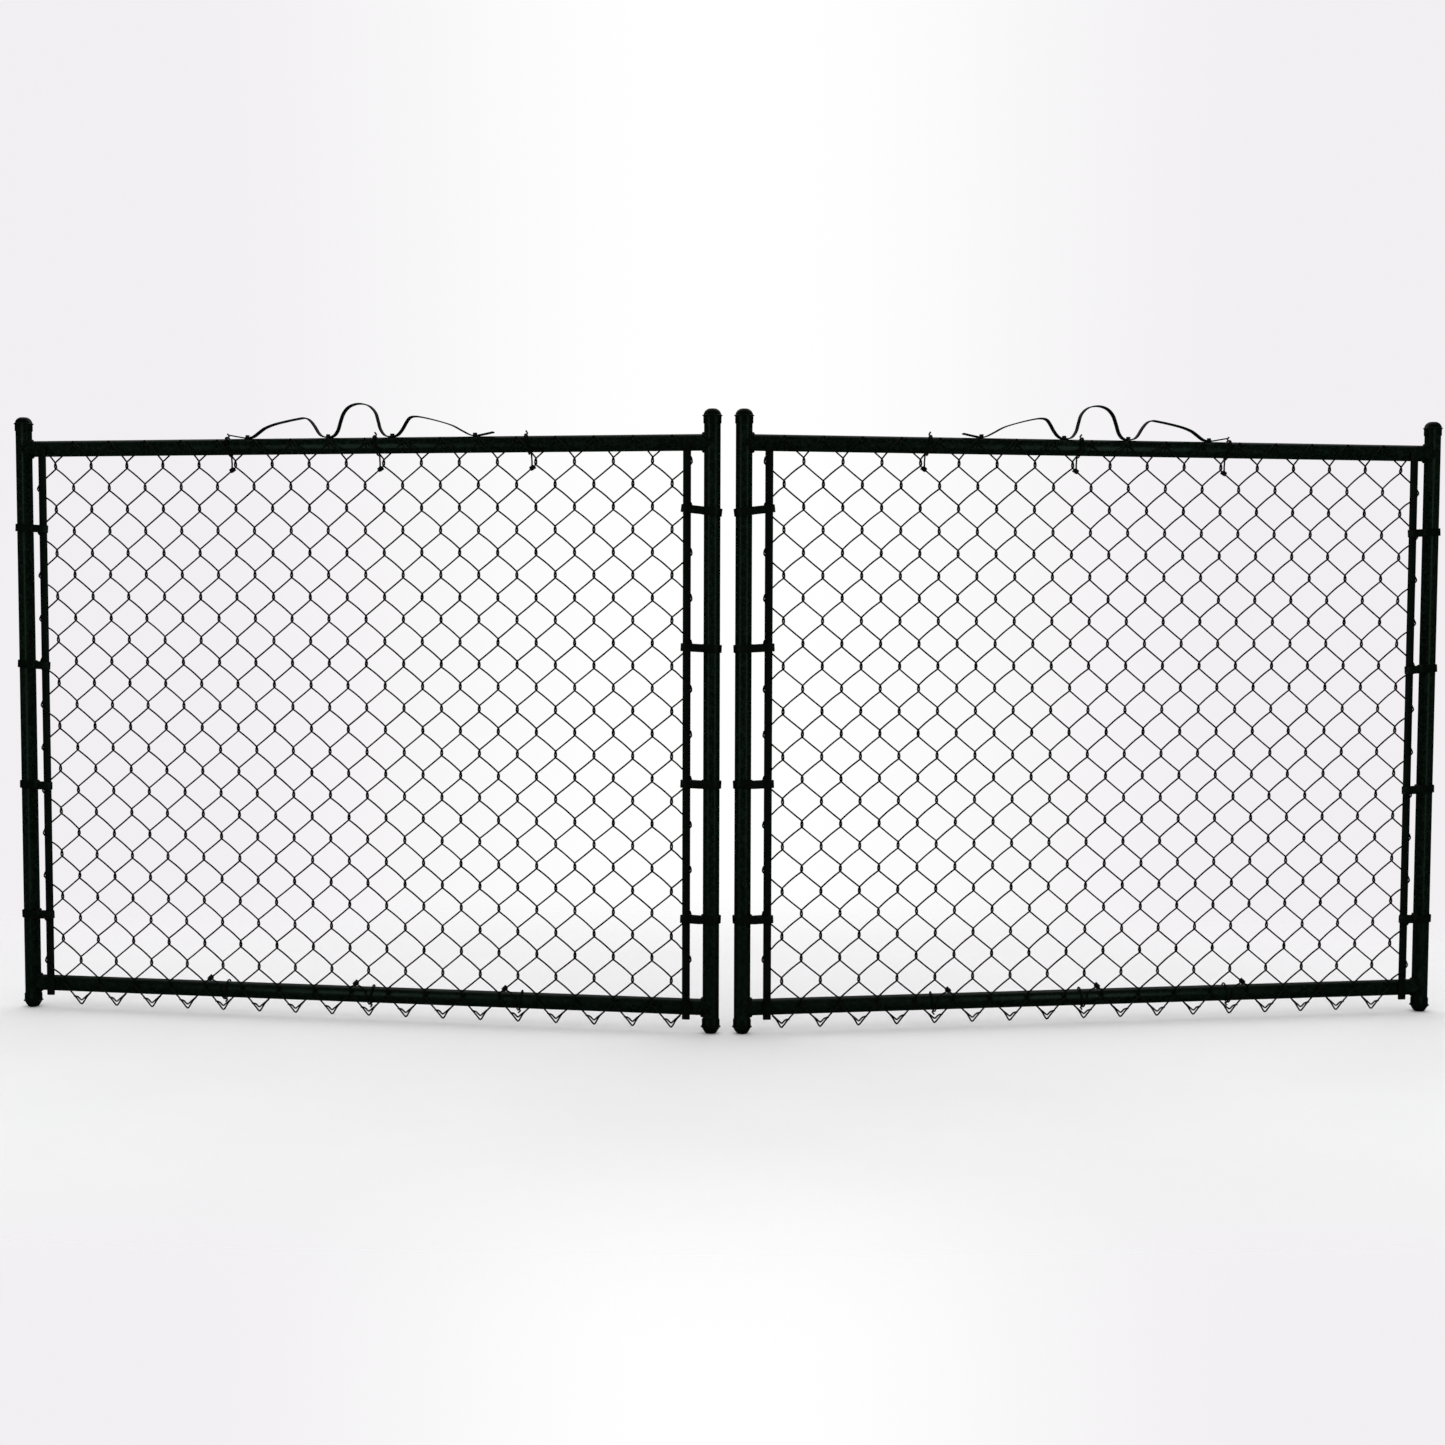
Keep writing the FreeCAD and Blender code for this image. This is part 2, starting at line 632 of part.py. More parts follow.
def make_tie(column, top):
    """Tie wire that hooks a back-layer run of the fabric and goes once round a rail."""
    radius = float(size("tie_od") / 2)
    layer_y = -float(FABRIC_Y - LAYER)
    hook = float(WIRE_R + size("wire_gap")) + radius
    front = layer_y + hook
    wrap = -front
    step_x, step_z = float(COLUMN_STEP), float(ROW_STEP) / 2
    spread, half = float(WIRE_R + size("wire_gap") / 2), float(size("knot_half"))
    run = V(step_x + 2 * spread, 0, 2 * half - step_z)
    lift = V(-run.z, 0, run.x).normalize()
    sign = 1 if top else -1
    rail_z = float(TOP_RAIL) if top else float(size("bottom_rail_height"))
    knot = V(column_x(column), layer_y, row_z(ROWS - 0.5 if top else 1))
    grip = knot - V(spread, 0, half) + run * (0.34 if top else 0.5)
    far, near = lift * (-sign * hook), lift * (sign * hook)
    behind = V(0, hook, 0)
    foot = 9.5 if top else 12.0
    head = 29.0 if top else 4.0
    points = [
        grip - behind + near * 0.3,
        grip - behind + far,
        grip + behind + far,
        V(knot.x + foot, front, rail_z - sign * (wrap + 1)),
        V(knot.x + head, front, rail_z + sign * wrap),
        V(knot.x + head + 2, wrap, rail_z + sign * wrap),
        V(knot.x + head - 4, wrap, rail_z - sign * wrap),
        V(knot.x + head - 10, -wrap * 0.4, rail_z - sign * wrap),
    ]
    tight, loop = hook * 0.97, wrap * 0.98
    bends = [tight, tight, 6.0, loop, loop, loop]
    return sweep_round(points, radius, bends)


def make_scroll_strip():
    """Ornamental strip about its own middle: flat feet, a tall middle arch and a hump on each side."""
    arch, high = float(size("scroll_arch_half")), float(size("scroll_arch_high"))
    start, end = float(size("scroll_hump_start")), float(size("scroll_hump_end"))
    hump, half = float(size("scroll_hump_high")), float(size("scroll_half"))
    span = end - start
    flat = float(size("scroll_thick")) / 2
    right = [
        (0.30 * arch, high, 18),
        (0.76 * arch, 0.68 * high, 26),
        (arch, flat, 7),
        (start, flat, 7),
        (start + 0.10 * span, 0.78 * hump, 18),
        (start + 0.19 * span, hump, 12),
        (start + 0.34 * span, 0.97 * hump, 60),
        (start + 0.72 * span, 0.66 * hump, 60),
        (start + 0.88 * span, 0.42 * hump, 22),
        (end, flat, 12),
        (half, flat, 0),
    ]
    full = [(-x, z, r) for x, z, r in reversed(right)] + right
    points = [V(x, 0, z) for x, z, _ in full]
    bends = [r for _, _, r in full][1:]
    width, thick = float(size("scroll_width")), float(size("scroll_thick"))
    x = points[0].x
    corners = [V(x, -width / 2, 0), V(x, width / 2, 0), V(x, width / 2, thick), V(x, -width / 2, thick)]
    section = Part.Face(Part.makePolygon(corners + corners[:1]))
    strip = rounded_path(points, bends).makePipe(section)
    hole_r = float(size("screw_od") / 2 + size("screw_fit"))
    holes = [Part.makeCylinder(hole_r, 4 * thick, V(float(s), 0, -thick)) for s in SCREW_SPOTS]
    return strip.cut(Part.makeCompound(holes))


def solid_feature(name, solids, side, mirrored=True):
    """Feature that holds ready-made solids of a leaf; the left leaf's are the mirror image."""
    shape = Part.makeCompound(solids)
    if mirrored and side < 0:
        shape = shape.mirror(V(0, 0, 0), V(1, 0, 0))
    feature = doc.addObject("Part::Feature", name)
    feature.Label = name
    feature.Shape = shape
    feature.Placement = leaf_placement(side)
    return feature


def moved(shape, out, front, up, turn=0):
    copy = shape.copy()
    seat = FreeCAD.Placement(V(float(out), -float(front), float(up)), FreeCAD.Rotation(Z_AXIS, turn))
    copy.Placement = seat
    return copy


def band_levels(end):
    """Heights of a bar's four bands, from the top: each sits close to a wire that wraps the bar."""
    lifts = INNER_BAND_LIFTS if end == "inner" else OUTER_BAND_LIFTS
    shift = 0.5 if end == "inner" else 0.0
    return [row_z(row + shift) + lift for row, lift in zip(BAND_ROWS, lifts)]


bolt, nut, screw = make_bolt("BoltPattern"), make_nut("NutPattern"), make_screw("ScrewPattern")
doc.recompute()
mesh_wires = make_mesh_wires()
top_ties = [make_tie(column, True) for column in TIE_COLUMNS]
bottom_ties = [make_tie(column + 1, False) for column in TIE_COLUMNS]
scroll = make_scroll_strip()
width, height = float(size("leaf_width")), float(LEAF_HEIGHT)
pieces = []

for side_name, side in SIDES:
    for end, out in (("inner", 0.0), ("outer", width)):
        upright = make_upright("%s_%s_upright" % (side_name, end))
        put(upright, side, out, 0, float(CAP_SEAT))
        foot = make_cap("%s_%s_foot_cap" % (side_name, end))
        put(foot, side, out, 0, 0)
        top = make_cap("%s_%s_top_cap" % (side_name, end))
        put(top, side, out, 0, height, turned=True)
        bar_out = float(BAR_X[end]) if end == "inner" else width - float(BAR_X[end])
        bar = make_bar("%s_%s_tension_bar" % (side_name, end))
        put(bar, side, bar_out, float(FABRIC_Y), float(size("bottom_rail_height") - size("bar_drop")))
        pieces += [upright, foot, top, bar]
        for number, level in enumerate(band_levels(end), start=1):
            name = "%s_%s_band_%d" % (side_name, end, number)
            strap = make_band(name + "_strap", BAR_X[end])
            band = doc.addObject("Part::Fuse", name)
            band.Base, band.Tool = strap, make_ear(name + "_ear", BAR_X[end])
            band.Label = name
            put(band, side, out, 0, level, turned=(end == "outer") != (side < 0))
            pieces.append(band)

    for level, drilled in (("top", True), ("bottom", False)):
        rail = make_rail("%s_%s_rail" % (side_name, level), drilled)
        up = float(TOP_RAIL if drilled else size("bottom_rail_height"))
        put(rail, side, 0, 0, up, turned=side < 0, turn_axis=Z_AXIS)
        pieces.append(rail)

    beads = make_welds("%s_welds" % side_name, side)
    beads.Placement = leaf_placement(side)
    pieces.append(beads)

    bolts, nuts = [], []
    nut_y = LEG_BACK - size("band_thick") - size("nut_thick") / 2
    for end in ("inner", "outer"):
        bolt_out = float(BOLT_X) if end == "inner" else width - float(BOLT_X)
        for level in band_levels(end):
            bolts.append(moved(bolt.Shape, bolt_out, LEG_FRONT + size("band_thick"), level))
            nuts.append(moved(nut.Shape, bolt_out, nut_y, level))
    pieces.append(solid_feature("%s_band_bolts" % side_name, bolts, side))
    pieces.append(solid_feature("%s_band_nuts" % side_name, nuts, side))

    rail_top = float(TOP_RAIL + TUBE_R)
    screw_up = rail_top + float(size("scroll_thick"))
    screws = [moved(screw.Shape, SCROLL_X + spot, 0, screw_up) for spot in SCREW_SPOTS]
    strip = moved(scroll, SCROLL_X, 0, rail_top)
    pieces.append(solid_feature("%s_scroll" % side_name, [strip], side))
    pieces.append(solid_feature("%s_scroll_screws" % side_name, screws, side))
    pieces.append(solid_feature("%s_mesh" % side_name, mesh_wires, side))
    pieces.append(solid_feature("%s_top_ties" % side_name, top_ties, side))
    pieces.append(solid_feature("%s_bottom_ties" % side_name, bottom_ties, side))

doc.recompute()
failed = [obj.Name for obj in doc.Objects if {"Invalid", "Error"} & set(obj.State)]
failed += [p.Label for p in pieces if p.Shape.isNull() or not p.Shape.isValid() or not p.Shape.Solids]
if failed:
    raise RuntimeError("failed pieces: " + ", ".join(failed))

os.makedirs("parts", exist_ok=True)
for piece in pieces:
    piece.Shape.exportStep("parts/%s.step" % piece.Label)
print("%d pieces written" % len(pieces))
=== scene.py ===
import json
import math
import random

import bpy
from mathutils import Matrix, Vector, noise


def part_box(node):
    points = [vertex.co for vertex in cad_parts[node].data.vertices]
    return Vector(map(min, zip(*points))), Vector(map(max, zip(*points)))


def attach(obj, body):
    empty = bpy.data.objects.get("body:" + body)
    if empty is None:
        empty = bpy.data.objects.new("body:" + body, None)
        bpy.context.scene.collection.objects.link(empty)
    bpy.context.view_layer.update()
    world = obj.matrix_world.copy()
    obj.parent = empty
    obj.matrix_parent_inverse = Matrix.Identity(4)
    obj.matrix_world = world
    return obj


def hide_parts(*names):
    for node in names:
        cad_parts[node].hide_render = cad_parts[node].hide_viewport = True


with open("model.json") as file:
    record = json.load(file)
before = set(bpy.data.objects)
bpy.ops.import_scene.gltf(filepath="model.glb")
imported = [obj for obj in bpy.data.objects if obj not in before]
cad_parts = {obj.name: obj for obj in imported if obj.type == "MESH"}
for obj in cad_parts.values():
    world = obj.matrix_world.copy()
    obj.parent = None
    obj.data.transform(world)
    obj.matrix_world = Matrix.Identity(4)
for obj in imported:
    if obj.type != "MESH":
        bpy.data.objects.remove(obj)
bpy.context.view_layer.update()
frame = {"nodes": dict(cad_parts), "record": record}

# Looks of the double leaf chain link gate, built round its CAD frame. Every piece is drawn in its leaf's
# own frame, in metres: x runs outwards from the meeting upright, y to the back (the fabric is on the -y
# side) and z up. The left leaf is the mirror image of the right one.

MM = 0.001
UP = Vector((0, 0, 1))
FORWARDS = (0, -1, 0)

# Sizes that the frame's boxes don't give, in metres

# Fabric: wires, the layers they lie in, their knots and the gentle bow of each run
COLUMNS = 35
ROWS = 13
WIRE_R = 1.7 * MM
WIRE_AIR = 0.2 * MM
LAYER = 1.8 * MM
KNOT_HALF = 5.0 * MM
KNOT_SHIFT = 0.5 * MM
RUN_BOW = 1.3 * MM
INWARD_BOW_SHARE = 0.25
BOW_VARIES = (0.7, 1.3)
BOW_SHAPE = ((0.10, 0.30), (0.30, 0.85), (0.50, 1.0), (0.70, 0.85), (0.90, 0.30))

# Selvages: neighbours end this far apart in height, then bend back over each other
SELVAGE_STEP = 8.5 * MM
SELVAGE_TAIL = {"bottom": 23.0 * MM, "top": 14.0 * MM}
TAIL_VARIES = (0.92, 1.08)
TAIL_LAYER = 5.1 * MM
HOOK_IN, HOOK_OUT = 1.8 * MM, 2.2 * MM
HOOK_RISE, HOOK_TIP = 1.2 * MM, 0.6 * MM
MEET_SHARE = 0.9
BEND_SOON, BEND_LATE = 0.9, 0.1

# Wraps of the end wires round the tension bars, and the last wire's own ends
WRAP_STAND = 1.5 * MM
WRAP_HALF = 7.0 * MM
WRAP_CORNER = 3.5 * MM
WRAP_TUCK = 0.8
LAST_LOW_SHARE, LAST_HIGH_SHARE = 0.25, 0.45

# Ties: which columns they hold, where they grip a run and how they go round the rail
TIE_COLUMNS = (8, 16, 24)
TIE_R = 1.7 * MM
TIE_AIR = 0.15 * MM
GRIP_SHARE = {"top": 0.22, "bottom": 0.70}
GRIP_STEPS, GRIP_STEPS_PER_TURN = 16, 5
GRIP_PITCH = 0.6 * MM
GRIP_LOOSE_ACROSS, GRIP_LOOSE_BEHIND = 1.25, 1.15
TIE_FOOT = {"top": 9.5 * MM, "bottom": 12.0 * MM}
TIE_HEAD = {"top": 26.0 * MM, "bottom": 4.0 * MM}
TIE_END = 9.0 * MM

# Tension bars and bands; tilts are in degrees, from the lowest band up
BAR_EDGE = 0.9 * MM
STRAP_THICK = 3.0 * MM
STRAP_HIGH = 16.0 * MM
STRAP_EDGE = 1.1 * MM
STRAP_AIR = 0.5 * MM
LIP_AIR = 0.4 * MM
EAR_R = 10.0 * MM
BAND_TILTS = {"inner": (-6.5, -3.0, -2.5, -2.5), "outer": (3.2, 3.1, 1.2, -1.5)}

# Bolts and nuts
NEAR_X, NEAR_Z = 60.0 * MM, 30.0 * MM
BOLT_R = 3.9 * MM
BOLT_HEAD_HIGH = 3.0 * MM
BOLT_HEAD_EDGE = 0.3 * MM
THREAD_STEP, THREAD_DEEP = 1.2 * MM, 0.45 * MM
THREADS = 8
BOLT_HEAD_FULL = 0.8
NUT_EASE = 0.12
NUT_FACE = 0.93

# Caps: a nearly flat crown, an arched side, a rolled rim and a skirt round the tube
CAP_DOME = 14.0 * MM
CAP_RIM_HIGH = 2.2 * MM
CAP_RIM_OUT = 2.3 * MM
CAP_RIM_PROUD = 0.4 * MM
CAP_AIR = 0.15 * MM
TOP_CROWN_R, TOP_BULGE = 7.0 * MM, 2.4 * MM
FOOT_CROWN_R, FOOT_BULGE = 10.0 * MM, 0.5 * MM

# Weld beads
BEAD_R = 3.1 * MM
BEAD_SPOTS = 150
BEAD_OUT, BEAD_GROW = 1.0 * MM, 0.5 * MM
RIPPLE_SPOTS, RIPPLE_DEEP = 5, 0.11
LUMP_STEP, LUMP_DEEP = 0.11, 0.25

# Scroll strip; its section is drawn a little narrower and thicker than the CAD's
SCROLL_THICK = 2.7 * MM
SCROLL_SHARE = 0.85
SCROLL_EDGE = 0.8 * MM
SCROLL_SEAT = 1.2


class Leaf:
    """A leaf's own frame, measured on its two CAD uprights."""

    def __init__(self, side):
        self.side = side
        self.body = side + "_leaf"
        inner = sum(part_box(side + "_inner_upright"), Vector()) / 2
        outer = sum(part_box(side + "_outer_upright"), Vector()) / 2
        inner.z = outer.z = 0
        out = (outer - inner).normalized()
        self.mirrored = out.x < 0
        back = Vector((-out.y, out.x, 0)) * (-1 if self.mirrored else 1)
        self.matrix = Matrix((out, back, UP)).transposed().to_4x4()
        self.matrix.translation = inner
        self.width = (outer - inner).length
        low, high = self.span("inner_upright")
        self.tube_r = (high.x - low.x) / 2

    def span(self, node, near=None):
        """Lowest and highest corner of a CAD node in the leaf's frame, or of its part round (x, z)."""
        to_leaf = self.matrix.inverted()
        points = [to_leaf @ v.co for v in frame["nodes"]["%s_%s" % (self.side, node)].data.vertices]
        if near:
            x, z = near
            points = [p for p in points if abs(p.x - x) < NEAR_X and abs(p.z - z) < NEAR_Z]
        low = Vector([min(p[i] for p in points) for i in range(3)])
        high = Vector([max(p[i] for p in points) for i in range(3)])
        return low, high

    def middle(self, node):
        low, high = self.span(node)
        return (low + high) / 2

    def piece(self, name, parts, material, slot, replaced=(), sharp=32):
        """One object of the leaf from (points, faces) parts drawn in its frame."""
        points, faces = [], []
        for part_points, part_faces in parts:
            start = len(points)
            points += [self.matrix @ Vector(p) for p in part_points]
            for face in part_faces:
                shifted = [start + i for i in face]
                faces.append(shifted[::-1] if self.mirrored else shifted)
        mesh = bpy.data.meshes.new("%s_%s" % (self.side, name))
        mesh.from_pydata(points, [], faces)
        mesh.validate()
        mesh.shade_smooth()
        mesh.set_sharp_from_angle(angle=math.radians(sharp))
        mesh.materials.append(material)
        shown = bpy.data.objects.new(mesh.name, mesh)
        bpy.context.scene.collection.objects.link(shown)
        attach(shown, self.body)
        if replaced:
            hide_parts(*["%s_%s" % (self.side, node) for node in replaced])
        return shown


# ---------------------------------------------------------------- shapes


def smooth_path(points, step=14):
    """Soft line guided by the points: it starts and ends on them and rounds every corner between."""
    line = [Vector(points[0])]
    for before, corner, after in zip(points, points[1:], points[2:]):
        before, corner, after = Vector(before), Vector(corner), Vector(after)
        first, last = (before + corner) / 2, (corner + after) / 2
        turn = math.degrees((corner - before).angle(after - corner, 0))
        count = 1 + int(turn / step)
        for i in range(count + 1):
            t = i / count
            spot = first * (1 - t) ** 2 + corner * (2 * t * (1 - t)) + last * t * t
            if (spot - line[-1]).length > 1e-6:
                line.append(spot)
    line.append(Vector(points[-1]))
    return line


def through_path(points, per_span=6):
    """Soft line that passes through every point (Catmull-Rom)."""
    points = [Vector(p) for p in points]
    ends = [points[0] * 2 - points[1]] + points + [points[-1] * 2 - points[-2]]
    line = []
    for a, b, c, d in zip(ends, ends[1:], ends[2:], ends[3:]):
        for i in range(per_span):
            t = i / per_span
            line.append(0.5 * (2 * b + (c - a) * t + (2 * a - 5 * b + 4 * c - d) * t * t
                               + (3 * b - a - 3 * c + d) * t ** 3))
    return line + [points[-1]]


def ring_section(radius, sides):
    return [(radius * math.cos(math.tau * i / sides), radius * math.sin(math.tau * i / sides))
            for i in range(sides)]


def bar_section(width, thick, edge, steps=3):
    """Rectangle with rounded corners, as (across, out) pairs."""
    section = []
    for quarter, (sx, sy) in enumerate(((1, 1), (-1, 1), (-1, -1), (1, -1))):
        for i in range(steps + 1):
            turn = math.pi / 2 * (quarter + i / steps)
            section.append((sx * (width / 2 - edge) + edge * math.cos(turn),
                            sy * (thick / 2 - edge) + edge * math.sin(turn)))
    return section


def sweep(line, section, across=None, closed=False, swell=None):
    """Section carried along a line. across fixes its first axis, and swell scales it at each point."""
    points, faces = [], []
    count, around = len(line), len(section)
    side = Vector(across) if across else None
    for i, spot in enumerate(line):
        before = line[i - 1] if i or closed else spot
        after = line[(i + 1) % count] if i < count - 1 or closed else spot
        ahead = (after - before).normalized()
        if across:
            u = (side - ahead * side.dot(ahead)).normalized()
        else:
            if side is None:
                side = ahead.orthogonal()
            u = (side - ahead * side.dot(ahead)).normalized()
            side = u
        v = ahead.cross(u)
        scale = swell(i) if swell else 1
        points += [spot + (u * a + v * b) * scale for a, b in section]
    loops = count if closed else count - 1
    for i in range(loops):
        low, high = i * around, (i + 1) % count * around
        for j in range(around):
            k = (j + 1) % around
            faces.append((low + j, low + k, high + k, high + j))
    if not closed:
        faces.append(tuple(range(around))[::-1])
        faces.append(tuple(range((count - 1) * around, count * around)))
    return points, faces


def round_wire(line, radius, sides=8):
    """Round wire with slightly domed ends."""
    dome, tip = 0.35 * radius, 0.62
    start = line[0] + (line[0] - line[1]).normalized() * dome
    finish = line[-1] + (line[-1] - line[-2]).normalized() * dome
    full = [start, *line, finish]
    ends = (0, len(full) - 1)
    return sweep(full, ring_section(radius, sides), swell=lambda i: tip if i in ends else 1)


def spin(profile, centre, axis=UP, sides=48):
    """Surface of revolution from (radius, height along the axis) pairs, closed where the radius is 0."""
    axis = Vector(axis)
    u = axis.orthogonal().normalized()
    v = axis.cross(u)
    points, faces, rings = [], [], []
    for radius, height in profile:
        spot = Vector(centre) + axis * height
        if radius < 1e-9:
            rings.append([len(points)] * sides)
            points.append(spot)
            continue
        rings.append(list(range(len(points), len(points) + sides)))
        for i in range(sides):
            turn = math.tau * i / sides
            points.append(spot + (u * math.cos(turn) + v * math.sin(turn)) * radius)
    for low, high in zip(rings, rings[1:]):
        for i in range(sides):
            k = (i + 1) % sides
            face = []
            for index in (low[i], low[k], high[k], high[i]):
                if index not in face:
                    face.append(index)
            faces.append(tuple(face))
    return points, faces


# ---------------------------------------------------------------- finishes


class Graph:
    """Adds nodes to a tree. An input that is another node's socket is linked, and any other is set."""

    def __init__(self, tree):
        self.tree = tree

    def add(self, kind, inputs, **settings):
        node = self.tree.nodes.new("ShaderNode" + kind)
        for key, value in settings.items():
            setattr(node, key, value)
        for key, value in inputs.items():
            if isinstance(value, bpy.types.NodeSocket):
                self.tree.links.new(value, node.inputs[key])
            else:
                node.inputs[key].default_value = value
        return node

    def math(self, operation, first, second, clamp=False):
        return self.add("Math", {0: first, 1: second}, operation=operation, use_clamp=clamp).outputs[0]

    def noise(self, place, scale, detail=3.0, rough=0.55):
        inputs = {"Vector": place, "Scale": scale, "Detail": detail, "Roughness": rough}
        return self.add("TexNoise", inputs).outputs["Fac"]

    def step(self, value, low, high):
        inputs = {"Value": value, "From Min": low, "From Max": high}
        return self.add("MapRange", inputs, interpolation_type="SMOOTHSTEP").outputs["Result"]

    def mix(self, share, first, second):
        node = self.add("Mix", {}, data_type="RGBA")
        for index, value in ((0, share), (6, first), (7, second)):
            if isinstance(value, bpy.types.NodeSocket):
                self.tree.links.new(value, node.inputs[index])
            else:
                node.inputs[index].default_value = value
        return node.outputs[2]


def make_group(name, inputs, outputs):
    tree = bpy.data.node_groups.new(name, "ShaderNodeTree")
    for label, default in inputs:
        socket = tree.interface.new_socket(label, in_out="INPUT", socket_type="NodeSocketFloat")
        socket.default_value = default
    for label in outputs:
        tree.interface.new_socket(label, in_out="OUTPUT", socket_type="NodeSocketFloat")
    graph = Graph(tree)
    entry = tree.nodes.new("NodeGroupInput").outputs
    leave = tree.nodes.new("NodeGroupOutput").inputs
    return graph, entry, leave


def make_coat_group():
    """Baked coating: its orange peel, the slow drift of its tone and its fine specks."""
    graph, entry, leave = make_group(
        "coat", (("Peel Scale", 700.0), ("Drift Scale", 9.0)), ("Height", "Drift", "Speck"))
    place = graph.add("NewGeometry", {}).outputs["Position"]
    peel = graph.noise(place, entry["Peel Scale"], 2.0, 0.5)
    fine = graph.noise(place, 2600.0, 2.0, 0.6)
    height = graph.math("ADD", graph.math("MULTIPLY", peel, 0.8), graph.math("MULTIPLY", fine, 0.2))
    links = graph.tree.links
    links.new(height, leave["Height"])
    links.new(graph.noise(place, entry["Drift Scale"], 4.0, 0.6), leave["Drift"])
    links.new(graph.step(graph.noise(place, 520.0, 3.0, 0.7), 0.64, 0.74), leave["Speck"])
    return graph.tree


def make_rub_group():
    """Wear where an edge stands proud, broken up by handling marks."""
    graph, entry, leave = make_group("rub", (("Edge", 0.53), ("Amount", 0.6)), ("Worn",))
    geometry = graph.add("NewGeometry", {})
    patches = graph.noise(geometry.outputs["Position"], 130.0, 4.0, 0.7)
    fully = graph.math("ADD", entry["Edge"], 0.06)
    proud = graph.step(geometry.outputs["Pointiness"], entry["Edge"], fully)
    broken = graph.step(patches, 0.42, 0.66)
    rubbed = graph.math("MULTIPLY", proud, broken)
    worn = graph.math("MULTIPLY", rubbed, entry["Amount"], clamp=True)
    graph.tree.links.new(worn, leave["Worn"])
    return graph.tree


def make_dust_group():
    """Pale dust that settles on what faces up, and thins out in blotches."""
    graph, entry, leave = make_group("dust", (("Amount", 0.3),), ("Dust",))
    geometry = graph.add("NewGeometry", {})
    rise = graph.add("SeparateXYZ", {0: geometry.outputs["Normal"]}).outputs["Z"]
    blotch = graph.noise(geometry.outputs["Position"], 36.0, 5.0, 0.65)
    lying = graph.math("MULTIPLY", graph.step(rise, 0.35, 1.0), graph.step(blotch, 0.3, 0.75))
    graph.tree.links.new(graph.math("MULTIPLY", lying, entry["Amount"], clamp=True), leave["Dust"])
    return graph.tree


GROUPS = {"coat": make_coat_group(), "rub": make_rub_group(), "dust": make_dust_group()}
DUST_GREY = (0.030, 0.036, 0.030, 1)
SPECK_SHARE = 0.2
DRIFT_IN_ROUGHNESS, DUST_IN_ROUGHNESS = 0.30, 0.5
BUMP_HIGH = 0.3 * MM
COAT_SPECULAR = 0.35


def make_finish(name, tones, bare, rough, peel, wear, dust, bump):
    """Coated metal: the coat's deep and light tone, what shows where it is rubbed, and its texture.

    peel gives the scales of the orange peel and of the tone's drift; wear gives the edge from which it
    shows and its amount.
    """
    material = bpy.data.materials.new(name)
    material.use_nodes = True
    material.node_tree.nodes.clear()
    graph = Graph(material.node_tree)

    def use(group, inputs):
        node = graph.add("Group", {}, node_tree=GROUPS[group])
        for key, value in inputs.items():
            node.inputs[key].default_value = value
        return node.outputs

    coat = use("coat", {"Peel Scale": peel[0], "Drift Scale": peel[1]})
    worn = use("rub", {"Edge": wear[0], "Amount": wear[1]})["Worn"]
    lying = use("dust", {"Amount": dust})["Dust"]
    deep, light = tones
    tone = graph.mix(graph.step(coat["Drift"], 0.34, 0.68), deep + (1,), light + (1,))
    tone = graph.mix(graph.math("MULTIPLY", coat["Speck"], SPECK_SHARE), tone, DUST_GREY)
    tone = graph.mix(lying, tone, DUST_GREY)
    tone = graph.mix(worn, tone, bare + (1,))
    drift = graph.math("SUBTRACT", coat["Drift"], 0.5)
    spread = graph.math("MULTIPLY", drift, DRIFT_IN_ROUGHNESS)
    dusty = graph.math("MULTIPLY", lying, DUST_IN_ROUGHNESS)
    roughness = graph.math("ADD", graph.math("ADD", spread, rough), dusty, clamp=True)
    bumps = {"Strength": bump, "Distance": BUMP_HIGH, "Height": coat["Height"]}
    normal = graph.add("Bump", bumps).outputs[0]
    looks = {"Base Color": tone, "Roughness": roughness, "Normal": normal}
    shader = graph.add("BsdfPrincipled", {**looks, "Specular IOR Level": COAT_SPECULAR})
    output = graph.add("OutputMaterial", {})
    graph.tree.links.new(shader.outputs[0], output.inputs["Surface"])
    return material


